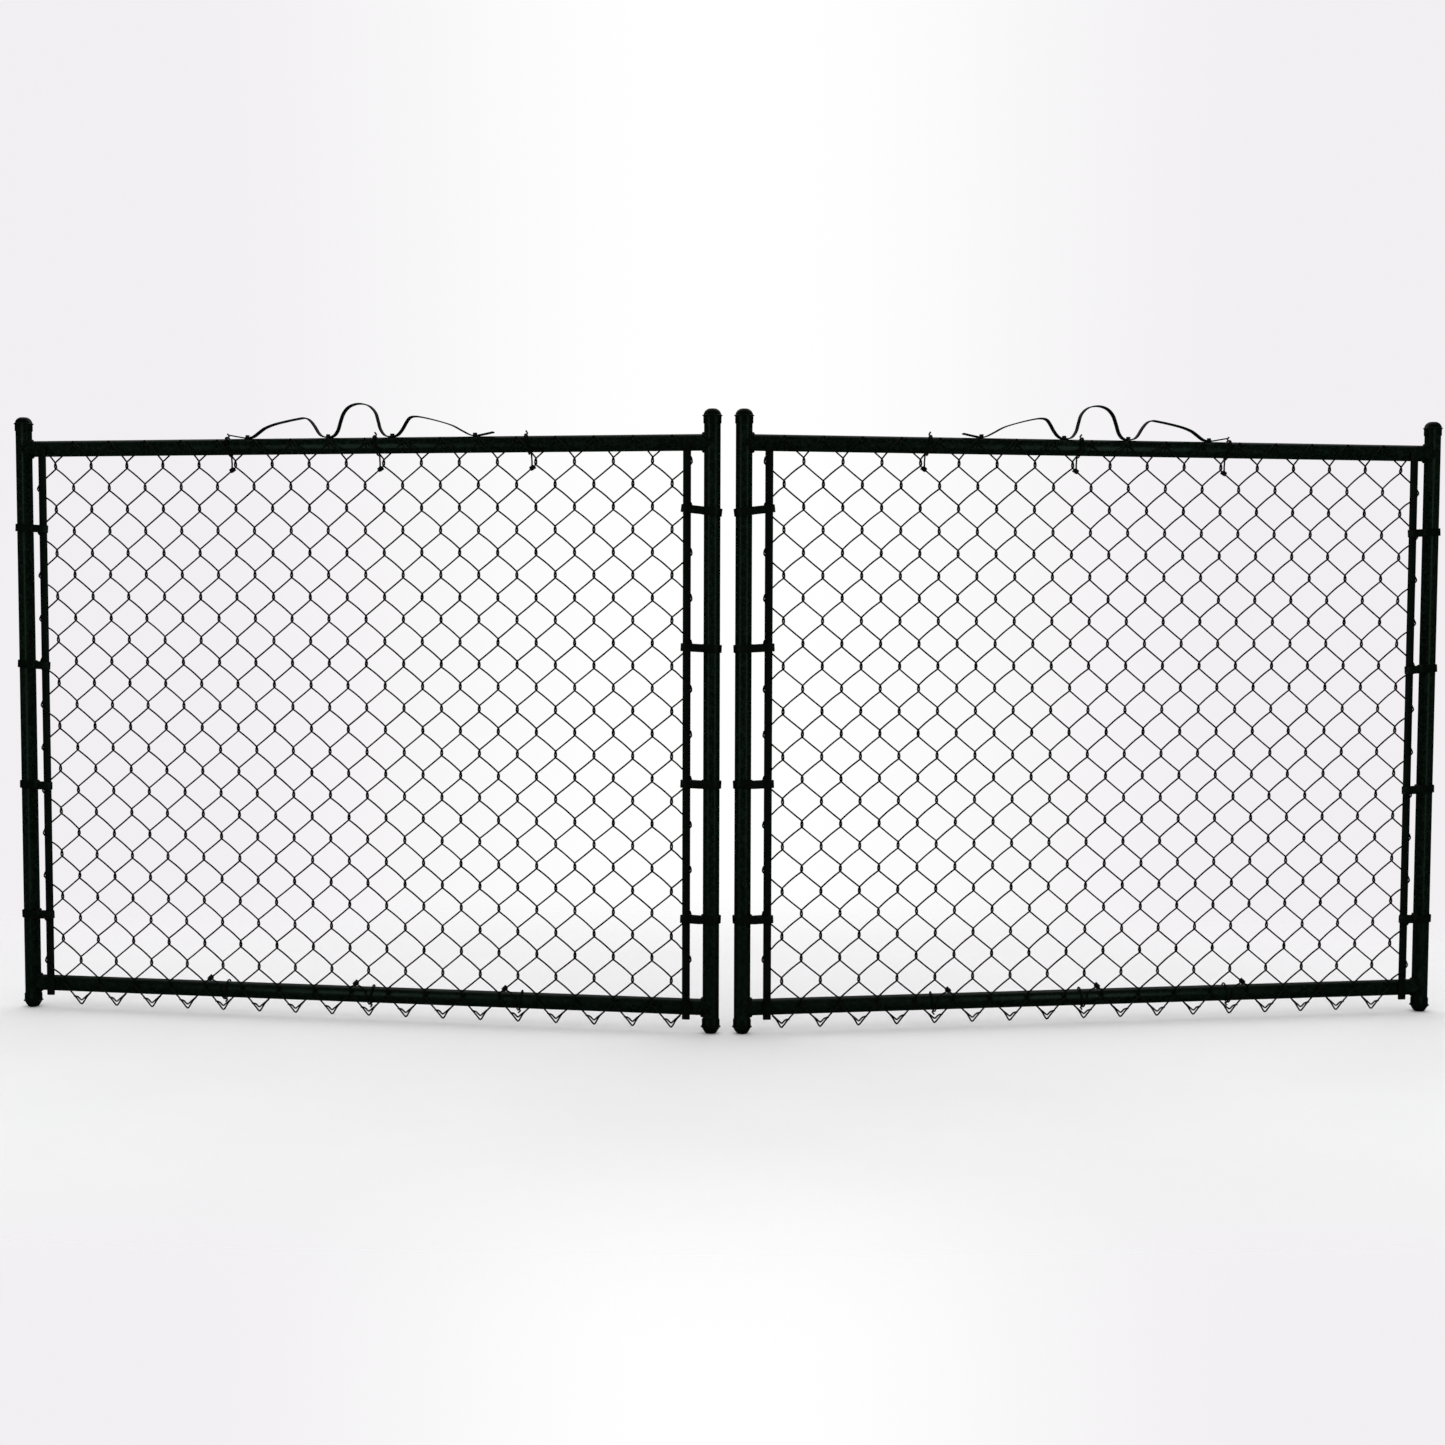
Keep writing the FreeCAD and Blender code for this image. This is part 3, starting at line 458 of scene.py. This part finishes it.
GREEN = (0.0002, 0.0024, 0.0006), (0.0005, 0.0038, 0.0013)
WIRE_GREEN = (0.0010, 0.0020, 0.0014), (0.0022, 0.0040, 0.0030)
TIE_GREEN = (0.0010, 0.0022, 0.0015), (0.0024, 0.0044, 0.0033)
FINISHES = {
    "frame_tube": make_finish(
        "tube_coat", GREEN, bare=(0.006, 0.016, 0.010), rough=0.30,
        peel=(620.0, 8.0), wear=(0.56, 0.4), dust=0.08, bump=0.12),
    "caps": make_finish(
        "cap_coat", GREEN, bare=(0.012, 0.022, 0.016), rough=0.34,
        peel=(520.0, 30.0), wear=(0.535, 0.5), dust=0.12, bump=0.18),
    "weld_beads": make_finish(
        "weld_coat", GREEN, bare=(0.012, 0.022, 0.016), rough=0.46,
        peel=(380.0, 40.0), wear=(0.54, 0.4), dust=0.14, bump=0.5),
    "bands_and_bars": make_finish(
        "strap_coat", GREEN, bare=(0.018, 0.027, 0.021), rough=0.46,
        peel=(560.0, 22.0), wear=(0.53, 0.55), dust=0.14, bump=0.3),
    "fasteners": make_finish(
        "bolt_coat", GREEN, bare=(0.022, 0.030, 0.024), rough=0.48,
        peel=(700.0, 60.0), wear=(0.525, 0.6), dust=0.12, bump=0.3),
    "scroll_strip": make_finish(
        "scroll_coat", GREEN, bare=(0.016, 0.026, 0.020), rough=0.45,
        peel=(600.0, 18.0), wear=(0.53, 0.5), dust=0.15, bump=0.28),
    "fabric_wire": make_finish(
        "wire_coat", WIRE_GREEN, bare=(0.012, 0.015, 0.013), rough=0.46,
        peel=(1400.0, 26.0), wear=(0.6, 0.3), dust=0.10, bump=0.18),
    "tie_wire": make_finish(
        "tie_coat", TIE_GREEN, bare=(0.02, 0.024, 0.02), rough=0.5,
        peel=(1500.0, 40.0), wear=(0.6, 0.4), dust=0.10, bump=0.2),
}


# ---------------------------------------------------------------- pieces of a leaf


class Fabric:
    """Where a leaf's fabric hangs: its columns, rows and middle plane, worked out from the CAD bars."""

    def __init__(self, leaf):
        inner_low, inner_high = leaf.span("inner_tension_bar")
        outer_low, outer_high = leaf.span("outer_tension_bar")
        mesh_low, mesh_high = leaf.span("mesh")
        self.mid = (inner_low.y + inner_high.y) / 2
        self.inner = (inner_low.x + inner_high.x) / 2
        self.outer = (outer_low.x + outer_high.x) / 2
        self.wrap = (inner_high.x - inner_low.x) / 2 + WIRE_AIR + WIRE_R
        self.bar_layer = (inner_high.y - inner_low.y) / 2 + WIRE_AIR + WIRE_R
        self.column_step = (self.outer - self.inner + 2 * self.wrap) / COLUMNS
        end = SELVAGE_STEP / 2 + WIRE_R
        self.low = mesh_low.z + end
        self.row_step = (mesh_high.z - mesh_low.z - 2 * end) / ROWS

    def column(self, index):
        return self.inner - self.wrap + self.column_step * index

    def row(self, index):
        return self.low + self.row_step * index


def fabric_wire(fabric, index, hand):
    """Guide points of one zigzag wire between two columns; hand gives its small irregularities."""
    spread = WIRE_R + WIRE_AIR / 2
    half_row = fabric.row_step / 2
    left, right = fabric.column(index), fabric.column(index + 1)
    drop = SELVAGE_STEP / 2
    reach = fabric.column_step + spread
    shallow, steep = half_row - KNOT_HALF - drop, half_row - KNOT_HALF + drop
    left_is_selvage = index % 2 == 1
    lone = index == COLUMNS - 1
    knots = []

    def add(x, y, z):
        knots[-1].append(Vector((x, fabric.mid + y, z)))

    def tail(rise, edge):
        share = SELVAGE_TAIL[edge] * hand.uniform(*TAIL_VARIES) / math.hypot(reach, rise)
        return share * reach, share * rise

    first = 1 if lone else 0
    for half in range(first, 2 * ROWS + 1 - first):
        z = fabric.row(half / 2)
        at_left = (half % 2 == 0) == left_is_selvage
        knots.append([])
        if half in (0, 2 * ROWS):
            x, sign = (left, -1) if left_is_selvage else (right, 1)
            bottom = half == 0
            end = z - drop if left_is_selvage else z + drop
            rise = shallow if bottom == left_is_selvage else steep
            along, up = tail(rise, "bottom" if bottom else "top")
            meet = SELVAGE_STEP * (MEET_SHARE if left_is_selvage == bottom else -MEET_SHARE)
            early, layer = (BEND_SOON, TAIL_LAYER) if left_is_selvage else (BEND_LATE, LAYER)
            if bottom:
                add(x + sign * along, -sign * TAIL_LAYER, end + up + meet)
                add(x + sign * along * 0.5, -sign * layer, end + up * 0.5 + meet * early)
                add(x + sign * HOOK_OUT, -sign * LAYER, end + HOOK_RISE)
                add(x, 0, end - HOOK_TIP)
                add(x - sign * HOOK_IN, sign * LAYER, end + HOOK_RISE)
            else:
                add(x - sign * HOOK_IN, -sign * LAYER, end - HOOK_RISE)
                add(x, 0, end + HOOK_TIP)
                add(x + sign * HOOK_OUT, sign * LAYER, end - HOOK_RISE)
                add(x + sign * along * 0.5, sign * layer, end - up * 0.5 + meet * early)
                add(x + sign * along, sign * TAIL_LAYER, end - up + meet)
        elif at_left and index == 0 or not at_left and lone:
            x, sign = (left, 1) if at_left else (right, -1)
            edge = fabric.inner + fabric.wrap if at_left else fabric.outer - fabric.wrap
            lift = abs(edge - x) * half_row / fabric.column_step
            layer = sign * fabric.bar_layer
            add(edge, layer, z - lift)
            add(x + sign * WRAP_STAND, layer, z - WRAP_HALF)
            add(x, layer * WRAP_TUCK, z - WRAP_CORNER)
            add(x, -layer * WRAP_TUCK, z + WRAP_CORNER)
            add(x + sign * WRAP_STAND, -layer, z + WRAP_HALF)
            add(edge, -layer, z + lift)
        else:
            x, sign = (left - spread, 1) if at_left else (right + spread, -1)
            shift = hand.uniform(-KNOT_SHIFT, KNOT_SHIFT)
            add(x, sign * LAYER, z - KNOT_HALF + shift)
            add(x, -sign * LAYER, z + KNOT_HALF + shift)
    if lone:
        low, high = knots[0][0], knots[-1][-1]
        diagonal = Vector((fabric.column_step, 0, half_row))
        mirrored = Vector((fabric.column_step, 0, -half_row))
        knots[0].insert(0, low + LAST_LOW_SHARE * mirrored)
        knots[-1].append(high + LAST_HIGH_SHARE * diagonal)
    guide = list(knots[0])
    for knot in knots[1:]:
        start, finish = guide[-1], knot[0]
        run = finish - start
        outwards = run.x > 0
        deep = RUN_BOW if outwards else RUN_BOW * INWARD_BOW_SHARE
        bow = Vector((-run.z, 0, run.x)).normalized() * deep
        bow *= hand.uniform(*BOW_VARIES)
        for share, part in BOW_SHAPE:
            guide.append(start + run * share + bow * part)
        guide += knot
    return guide


def make_fabric(leaf, fabric):
    hand = random.Random(7)
    wires = []
    for index in range(COLUMNS):
        line = smooth_path(fabric_wire(fabric, index, hand), step=18)
        wires.append(round_wire(line, WIRE_R))
    leaf.piece("fabric", wires, FINISHES["fabric_wire"], "fabric_wire", ["mesh"], 80)


def make_cap(leaf, node, crown_up):
    """Pressed dome cap with a rolled rim; the skirt goes round the tube."""
    low, high = leaf.span(node)
    rim_r = (high.x - low.x) / 2 + CAP_RIM_PROUD
    skirt_r = rim_r - CAP_RIM_OUT
    crown_r, arch = (TOP_CROWN_R, TOP_BULGE) if crown_up else (FOOT_CROWN_R, FOOT_BULGE)
    long = high.z - low.z
    bore_r = leaf.tube_r + CAP_AIR
    crown, edge = Vector((crown_r, 0)), Vector((skirt_r, CAP_DOME - CAP_RIM_HIGH / 2))
    chord = edge - crown
    bulge = Vector((chord.y, -chord.x)).normalized() * arch
    profile = [(0, 0), (crown_r * 0.55, 0.03 * MM), (crown_r * 0.85, 0.2 * MM)]
    arch_steps, rim_steps = 13, 6
    for i in range(1, arch_steps):
        share = i / arch_steps
        spot = crown + chord * share + bulge * math.sin(math.pi * share)
        profile.append((spot.x, spot.y))
    for i in range(rim_steps + 1):
        turn = math.radians(-90 + 180 / rim_steps * i)
        height = CAP_DOME + CAP_RIM_HIGH / 2 * math.sin(turn)
        profile.append((skirt_r + CAP_RIM_OUT * math.cos(turn), height))
    profile += [
        (skirt_r, CAP_DOME + CAP_RIM_HIGH * 0.75),
        (skirt_r, long - 1.0 * MM),
        (skirt_r - 0.4 * MM, long - 0.15 * MM),
        (bore_r + 0.3 * MM, long),
        (bore_r, long - 0.5 * MM),
        (bore_r, CAP_DOME),
        (0, CAP_DOME),
    ]
    centre = (low + high) / 2
    centre.z = high.z if crown_up else low.z
    dome = spin(profile, centre, -UP if crown_up else UP)
    leaf.piece(node + "_dome", [dome], FINISHES["caps"], "caps", [node], 40)


def make_welds(leaf):
    """A rippled bead round each of the four saddles where a rail meets an upright."""
    beads = []
    hand = random.Random(11)
    radius = leaf.tube_r
    for rail in ("top_rail", "bottom_rail"):
        level = leaf.middle(rail).z
        for out, way in ((0.0, 1), (leaf.width, -1)):
            phase = hand.uniform(0, 6)
            line = []
            for i in range(BEAD_SPOTS):
                turn = math.tau * i / BEAD_SPOTS
                reach = radius * abs(math.sin(turn)) ** 0.9 + BEAD_OUT
                grow = radius + BEAD_GROW
                spot = (out + way * reach, grow * math.cos(turn), level + grow * math.sin(turn))
                line.append(Vector(spot))

            def ripple(i):
                lump = noise.noise(Vector((i * LUMP_STEP, phase, out)))
                wave = math.sin(i * math.tau / RIPPLE_SPOTS + phase)
                return 1 + RIPPLE_DEEP * wave + LUMP_DEEP * lump

            beads.append(sweep(line, ring_section(BEAD_R, 10), closed=True, swell=ripple))
    leaf.piece("weld_beads", beads, FINISHES["weld_beads"], "weld_beads", ["welds"], 80)


def make_bar(leaf, end):
    """Flat tension bar with eased edges and ends."""
    node = end + "_tension_bar"
    low, high = leaf.span(node)
    middle, size = (low + high) / 2, high - low
    stretches = 90
    between = [size.z * i / stretches for i in range(1, stretches)]
    heights = [0, BAR_EDGE, *between, size.z - BAR_EDGE, size.z]
    line = [Vector((middle.x, middle.y, low.z + h)) for h in heights]
    ends = (0, len(line) - 1)
    section = bar_section(size.x, size.y, BAR_EDGE)
    bar = sweep(line, section, across=(1, 0, 0), swell=lambda i: 0.9 if i in ends else 1)
    leaf.piece(node + "_flat", [bar], FINISHES["bands_and_bars"], "bands_and_bars", [node], 40)


def band_seat(post_x, level, tilt):
    """A tilted band's own frame: its origin is on the upright's axis at the band's height."""
    return Matrix.Translation((post_x, 0, level)) @ Matrix.Rotation(math.radians(tilt), 4, "Y")


def bolt_shape(low, high, level):
    """Carriage bolt with a domed head, its thread towards the back."""
    head_r, long = (high.x - low.x) / 2, high.y - low.y
    neck = long - BOLT_HEAD_HIGH
    rim = neck + BOLT_HEAD_EDGE
    profile = [(0, 0), (BOLT_R - 2 * THREAD_DEEP, 0)]
    for i in range(THREADS):
        profile.append((BOLT_R, THREAD_STEP * (i + 0.5)))
        profile.append((BOLT_R - THREAD_DEEP, THREAD_STEP * (i + 1)))
    profile += [(BOLT_R, neck), (head_r - BOLT_HEAD_EDGE, neck), (head_r, rim)]
    dome_steps = 8
    for i in range(1, dome_steps):
        turn = math.radians(90 * i / dome_steps)
        height = rim + (BOLT_HEAD_HIGH - BOLT_HEAD_EDGE) * math.sin(turn)
        profile.append((head_r * math.cos(turn) ** BOLT_HEAD_FULL, height))
    profile.append((0, long))
    return spin(profile, ((low.x + high.x) / 2, high.y, level), FORWARDS, sides=24)


def nut_shape(low, high, level):
    """Hexagon nut with eased faces."""
    nut_r, thick = (high.z - low.z) / 2, high.y - low.y
    face_r, ease = nut_r * NUT_FACE, thick * NUT_EASE
    profile = [(0, 0), (face_r, 0), (nut_r, ease), (nut_r, thick - ease), (face_r, thick), (0, thick)]
    return spin(profile, ((low.x + high.x) / 2, high.y, level), FORWARDS, sides=6)


def make_fasteners(leaf):
    """Carriage bolt and hexagon nut of every band, tipped with the band they hold."""
    bolts, nuts = [], []
    for end, post_x, way in (("inner", 0.0, 1), ("outer", leaf.width, -1)):
        for number, tilt in enumerate(BAND_TILTS[end], start=1):
            level = leaf.middle("%s_band_%d" % (end, number)).z
            back_to_seat = Matrix.Translation((-post_x, 0, -level))
            tip = band_seat(post_x, level, tilt * way) @ back_to_seat
            bolt = bolt_shape(*leaf.span("band_bolts", (post_x, level)), level)
            nut = nut_shape(*leaf.span("band_nuts", (post_x, level)), level)
            for (points, faces), group in ((bolt, bolts), (nut, nuts)):
                group.append(([tip @ Vector(p) for p in points], faces))
    leaf.piece("carriage_bolts", bolts, FINISHES["fasteners"], "fasteners", ["band_bolts"], 35)
    leaf.piece("hexagon_nuts", nuts, FINISHES["fasteners"], "fasteners", ["band_nuts"], 25)


def make_band(leaf, end, number, tilt):
    """Tension band: strap round the upright, two legs to the bar, a lip and a round end over the bar."""
    node = "%s_band_%d" % (end, number)
    low, high = leaf.span(node)
    post_x = 0.0 if end == "inner" else leaf.width
    way = 1 if end == "inner" else -1
    level = (low.z + high.z) / 2
    bar_low, bar_high = leaf.span("%s_tension_bar" % end)
    bar_x = abs((bar_low.x + bar_high.x) / 2 - post_x)
    bar_half = (bar_high.x - bar_low.x) / 2
    fabric_y = (bar_low.y + bar_high.y) / 2
    front = low.y + STRAP_THICK / 2
    back = 2 * fabric_y - front
    strap_r = leaf.tube_r + STRAP_AIR + STRAP_THICK / 2
    lip = bar_x + bar_half + LIP_AIR + STRAP_THICK / 2
    plan = [
        (lip, fabric_y),
        (lip, front + 1.2 * MM),
        (lip - 0.4 * MM, front + 0.4 * MM),
        (lip - 1.2 * MM, front),
        (bar_x, front),
        (strap_r + 7.0 * MM, front),
        (strap_r + 1.5 * MM, front),
    ]
    arc_steps = 30
    begin, finish = math.radians(-100), math.radians(-44 - 360)
    for i in range(arc_steps + 1):
        turn = begin + (finish - begin) * i / arc_steps
        plan.append((strap_r * math.cos(turn), strap_r * math.sin(turn)))
    plan += [
        (strap_r * 0.78 + 2.2 * MM, back),
        (bar_x - 4.0 * MM, back),
        (bar_x + 6.0 * MM, back),
    ]
    line = [Vector((x, y, 0)) for x, y in plan]
    strap = sweep(line, bar_section(STRAP_HIGH, STRAP_THICK, STRAP_EDGE), across=UP)
    ear_profile = [
        (0, 0.9 * MM),
        (3.0 * MM, 0.8 * MM),
        (EAR_R - 2.2 * MM, 0.35 * MM),
        (EAR_R - 0.9 * MM, 0),
        (EAR_R - 0.2 * MM, -0.5 * MM),
        (EAR_R, -1.2 * MM),
        (EAR_R, 0.6 * MM - STRAP_THICK),
        (EAR_R - 0.6 * MM, -STRAP_THICK),
        (0, -STRAP_THICK),
    ]
    ear = spin(ear_profile, (bar_x, front - STRAP_THICK / 2, 0), FORWARDS, sides=32)
    seat = band_seat(post_x, level, tilt * way)
    parts = []
    for points, faces in (strap, ear):
        placed = [seat @ Vector((way * p[0], p[1], p[2])) for p in points]
        parts.append((placed, faces if way > 0 else [f[::-1] for f in faces]))
    leaf.piece(node + "_strap", parts, FINISHES["bands_and_bars"], "bands_and_bars", [node], 50)


# Line of the scroll: along the rail from its middle, outwards being plus, and height, in millimetres
SCROLL_LINE = (
    (282, 7), (262, 3.5), (246, 1.2), (232, 3.5), (220, 11.5), (206, 21), (186, 28.5), (160, 34.5),
    (136, 39), (119, 41), (108, 36), (98, 24), (90, 11), (82, 3.5), (69, 1.2), (57, 3.5),
    (48, 14), (42, 32), (35, 50), (22, 63.5), (2, 69), (-19, 64.5), (-33, 51), (-39, 33),
    (-44, 16), (-54, 3.5), (-69, 1.2), (-81, 4.5), (-91, 15.5), (-100, 30.5), (-108, 39.5), (-121, 41.5),
    (-142, 38), (-170, 31), (-197, 22.5), (-218, 11.5), (-234, 3.5), (-246, 1.2), (-262, 3.5), (-284, 8),
)


def make_scroll(leaf):
    """Flat strip bent into a tall arch between two low humps, each side of it screwed to the rail."""
    low, high = leaf.span("scroll")
    middle = (low.x + high.x) / 2
    seat = leaf.span("top_rail")[1].z + SCROLL_THICK / 2
    spots = [(middle + x * MM, 0, seat + max(z - SCROLL_SEAT, 0) * MM) for x, z in SCROLL_LINE]
    section = bar_section((high.y - low.y) * SCROLL_SHARE, SCROLL_THICK, SCROLL_EDGE, steps=2)
    strip = sweep(through_path(spots, per_span=5), section, across=(0, 1, 0))
    leaf.piece("scroll_strip", [strip], FINISHES["scroll_strip"], "scroll_strip", ["scroll"], 50)


def make_tie(leaf, fabric, column, top, hand):
    """Tie wire: three turns on a run of the fabric, one and a half round the rail and a free end."""
    edge = "top" if top else "bottom"
    rail = leaf.middle(edge + "_rail").z
    sign = 1 if top else -1
    layer = fabric.mid + LAYER
    hook = WIRE_R + WIRE_AIR + TIE_R
    spread = WIRE_R + WIRE_AIR / 2
    wrap = leaf.tube_r + TIE_R + TIE_AIR
    run = Vector((fabric.column_step + 2 * spread, 0, 2 * KNOT_HALF - fabric.row_step / 2))
    along = run.normalized()
    lift = Vector((-run.z, 0, run.x)).normalized()
    knot = Vector((fabric.column(column), layer, fabric.row(ROWS - 0.5 if top else 1)))
    grip = knot - Vector((spread, 0, KNOT_HALF)) + run * GRIP_SHARE[edge]
    behind = Vector((0, hook, 0))
    points = []
    for i in range(GRIP_STEPS):
        turn = math.tau * i / GRIP_STEPS_PER_TURN
        spot = grip + along * (i - GRIP_STEPS / 2) * GRIP_PITCH
        spot += lift * (-sign * hook * GRIP_LOOSE_ACROSS * math.cos(turn))
        spot += behind * GRIP_LOOSE_BEHIND * math.sin(turn)
        points.append(spot)
    foot, head = TIE_FOOT[edge], TIE_HEAD[edge]

    def round_rail(x, back, up, extra=0.0):
        """Adds a point: x past the knot, and back and up in shares of the wrap's radius about the rail."""
        points.append(Vector((knot.x + x, wrap * back, rail + sign * (wrap * up + extra))))

    round_rail(foot, -0.93, -0.9)
    round_rail((foot + head) / 2, -1.02, 0)
    round_rail(head, -0.86, 0.86)
    round_rail(head + 1.0 * MM, 0, 1.16)
    round_rail(head, 0.86, 0.86)
    round_rail(head - 2.0 * MM, 1.16, 0)
    round_rail(head - 4.0 * MM, 0.86, -0.86)
    round_rail(head - 7.0 * MM, 0, -1.16)
    round_rail(head - 8.0 * MM, -0.86, -0.86)
    round_rail(head - 6.0 * MM, -1.16, 0)
    round_rail(head - 4.0 * MM, -0.86, 0.86)
    round_rail(head - 2.6 * MM, 0, 1.17)
    round_rail(head - 1.4 * MM, 0.25, 1.12, 2.0 * MM)
    round_rail(head + hand.uniform(-1, 3) * MM, 0.2, 1, TIE_END)
    return round_wire(smooth_path(points, step=15), TIE_R)


def make_ties(leaf, fabric):
    hand = random.Random(5)
    for top, node in ((True, "top_ties"), (False, "bottom_ties")):
        shift = 0 if top else 1
        parts = [make_tie(leaf, fabric, column + shift, top, hand) for column in TIE_COLUMNS]
        leaf.piece(node + "_twist", parts, FINISHES["tie_wire"], "tie_wire", [node], 80)


def finish_cad_nodes():
    """Gives every CAD node that stays in view its finish, taken from the record's slots."""
    for entry in frame["record"]["subparts"]:
        node = frame["nodes"][entry["node"]]
        node.data.materials.clear()
        node.data.materials.append(FINISHES[entry["material_slot"]])


finish_cad_nodes()
for side in ("left", "right"):
    leaf = Leaf(side)
    fabric = Fabric(leaf)
    make_fabric(leaf, fabric)
    for end in ("inner", "outer"):
        make_cap(leaf, end + "_foot_cap", crown_up=False)
        make_cap(leaf, end + "_top_cap", crown_up=True)
        make_bar(leaf, end)
        for number, tilt in enumerate(BAND_TILTS[end], start=1):
            make_band(leaf, end, number, tilt)
    make_fasteners(leaf)
    make_welds(leaf)
    make_scroll(leaf)
    make_ties(leaf, fabric)


# ---------------------------------------------------------------- floor, light and camera

# The floor fades out between these distances from the gate; its fade is an oval, longer across
FLOOR_HALF = 9.0
FLOOR_OVAL = 0.42
FLOOR_FADE = (0.75, 1.9)
FLOOR_TONES = (0.915, 0.91, 0.915, 1), (0.94, 0.935, 0.94, 1)
FLOOR_IN_GLOSS = (0.015, 0.03, 0.02, 1)

# The studio as it is seen, as it lights matt surfaces, and as it shows in gloss
STUDIO_SIDE, STUDIO_MIDDLE = (0.885, 0.865, 0.885, 1), (1.0, 1.0, 1.0, 1)
STUDIO_WIDTH = (0.26, 0.02)
STUDIO_LIGHT, STUDIO_LIGHT_POWER = (0.97, 0.96, 0.97, 1), 1.0
STUDIO_GLOSS, STUDIO_GLOSS_POWER = (0.40, 1.0, 0.60, 1), 0.025

# Softboxes: place, aim, width, height, power and tint
WHITE, PALE_GREEN = (1, 1, 1), (0.6, 1.0, 0.72)
SOFTBOXES = {
    "overhead": ((0, 2.2, 3.6), (0, 0, 0.3), 6.0, 3.0, 24, WHITE),
    "strip_left": ((-1.68, -1.6, 0.85), (-0.7, 0, 0.8), 0.26, 1.6, 1.6, PALE_GREEN),
    "strip_right": ((1.68, -1.6, 0.85), (0.7, 0, 0.8), 0.26, 1.6, 1.6, PALE_GREEN),
}

EYE = (-0.007, -4.191, 0.879)
LENS, SENSOR_WIDTH = 50.5, 36
PITCH, ROLL, YAW = math.radians(3.463), math.radians(0.189), math.radians(-0.038)


def make_floor():
    """Pale floor round the gate that thins out into the white studio."""
    material = bpy.data.materials.new("studio_floor")
    material.use_nodes = True
    material.node_tree.nodes.clear()
    graph = Graph(material.node_tree)
    place = graph.add("NewGeometry", {}).outputs["Position"]
    apart = graph.add("SeparateXYZ", {0: place}).outputs
    across = graph.math("MULTIPLY", apart["X"], FLOOR_OVAL)
    oval = graph.add("CombineXYZ", {0: across, 1: apart["Y"]}).outputs[0]
    distance = graph.add("VectorMath", {0: oval}, operation="LENGTH").outputs["Value"]
    fade = graph.step(distance, *FLOOR_FADE)
    blotch = graph.noise(place, 1.4, 3.0)
    tone = graph.mix(graph.step(blotch, 0.3, 0.7), *FLOOR_TONES)
    matt = {"Base Color": tone, "Roughness": 0.7, "Specular IOR Level": 0.2}
    diffuse = graph.add("BsdfPrincipled", matt)
    dark = graph.add("BsdfDiffuse", {"Color": FLOOR_IN_GLOSS})
    glossy = graph.add("LightPath", {}).outputs["Is Glossy Ray"]
    shown = graph.add("MixShader", {0: glossy, 1: diffuse.outputs[0], 2: dark.outputs[0]})
    clear = graph.add("BsdfTransparent", {})
    blend = graph.add("MixShader", {0: fade, 1: shown.outputs[0], 2: clear.outputs[0]})
    output = graph.add("OutputMaterial", {})
    graph.tree.links.new(blend.outputs[0], output.inputs["Surface"])
    mesh = bpy.data.meshes.new("studio_floor")
    corners = [(x * FLOOR_HALF, y * FLOOR_HALF, 0) for x, y in ((-1, -1), (1, -1), (1, 1), (-1, 1))]
    mesh.from_pydata(corners, [], [(0, 1, 2, 3)])
    mesh.materials.append(material)
    floor = bpy.data.objects.new("studio_floor", mesh)
    bpy.context.scene.collection.objects.link(floor)


def make_world():
    """White surroundings for the eye, and dim ones in gloss, so that the coat stays deep."""
    world = bpy.data.worlds.new("studio")
    bpy.context.scene.world = world
    world.cycles.sampling_method = "NONE"
    world.use_nodes = True
    world.node_tree.nodes.clear()
    graph = Graph(world.node_tree)
    way = graph.add("SeparateXYZ", {0: graph.add("TexCoord", {}).outputs["Generated"]}).outputs
    middle = graph.step(graph.math("ABSOLUTE", way["X"], 0.0), *STUDIO_WIDTH)
    tone = graph.mix(middle, STUDIO_SIDE, STUDIO_MIDDLE)
    seen = graph.add("Background", {"Color": tone, "Strength": 1.0})
    lit = graph.add("Background", {"Color": STUDIO_LIGHT, "Strength": STUDIO_LIGHT_POWER})
    mirrored = graph.add("Background", {"Color": STUDIO_GLOSS, "Strength": STUDIO_GLOSS_POWER})
    rays = graph.add("LightPath", {}).outputs
    around = graph.add("MixShader", {0: rays["Is Glossy Ray"], 1: lit.outputs[0], 2: mirrored.outputs[0]})
    blend = graph.add("MixShader", {0: rays["Is Camera Ray"], 1: around.outputs[0], 2: seen.outputs[0]})
    output = graph.add("OutputWorld", {})
    graph.tree.links.new(blend.outputs[0], output.inputs["Surface"])


def add_softbox(name, place, aim, width, height, power, tint):
    """Rectangular light that the camera doesn't see."""
    light = bpy.data.lights.new(name, "AREA")
    light.shape = "RECTANGLE"
    light.size, light.size_y = width, height
    light.energy = power
    light.color = tint
    lamp = bpy.data.objects.new(name, light)
    lamp.location = place
    lamp.visible_camera = False
    lamp.rotation_euler = (Vector(aim) - Vector(place)).to_track_quat("-Z", "Y").to_euler()
    bpy.context.scene.collection.objects.link(lamp)


def add_camera():
    """Eye level camera in front of the meeting uprights, tipped slightly down."""
    camera = bpy.data.cameras.new("camera")
    camera.sensor_width = SENSOR_WIDTH
    camera.lens = LENS
    eye = bpy.data.objects.new("camera", camera)
    eye.location = EYE
    turn = Matrix.Rotation(-YAW, 4, "Z") @ Matrix.Rotation(math.pi / 2 - PITCH, 4, "X")
    eye.rotation_euler = (turn @ Matrix.Rotation(ROLL, 4, "Z")).to_euler()
    bpy.context.scene.collection.objects.link(eye)
    bpy.context.scene.camera = eye


make_floor()
make_world()
for name, settings in SOFTBOXES.items():
    add_softbox(name, *settings)
add_camera()
bpy.context.scene.view_settings.view_transform = "Standard"
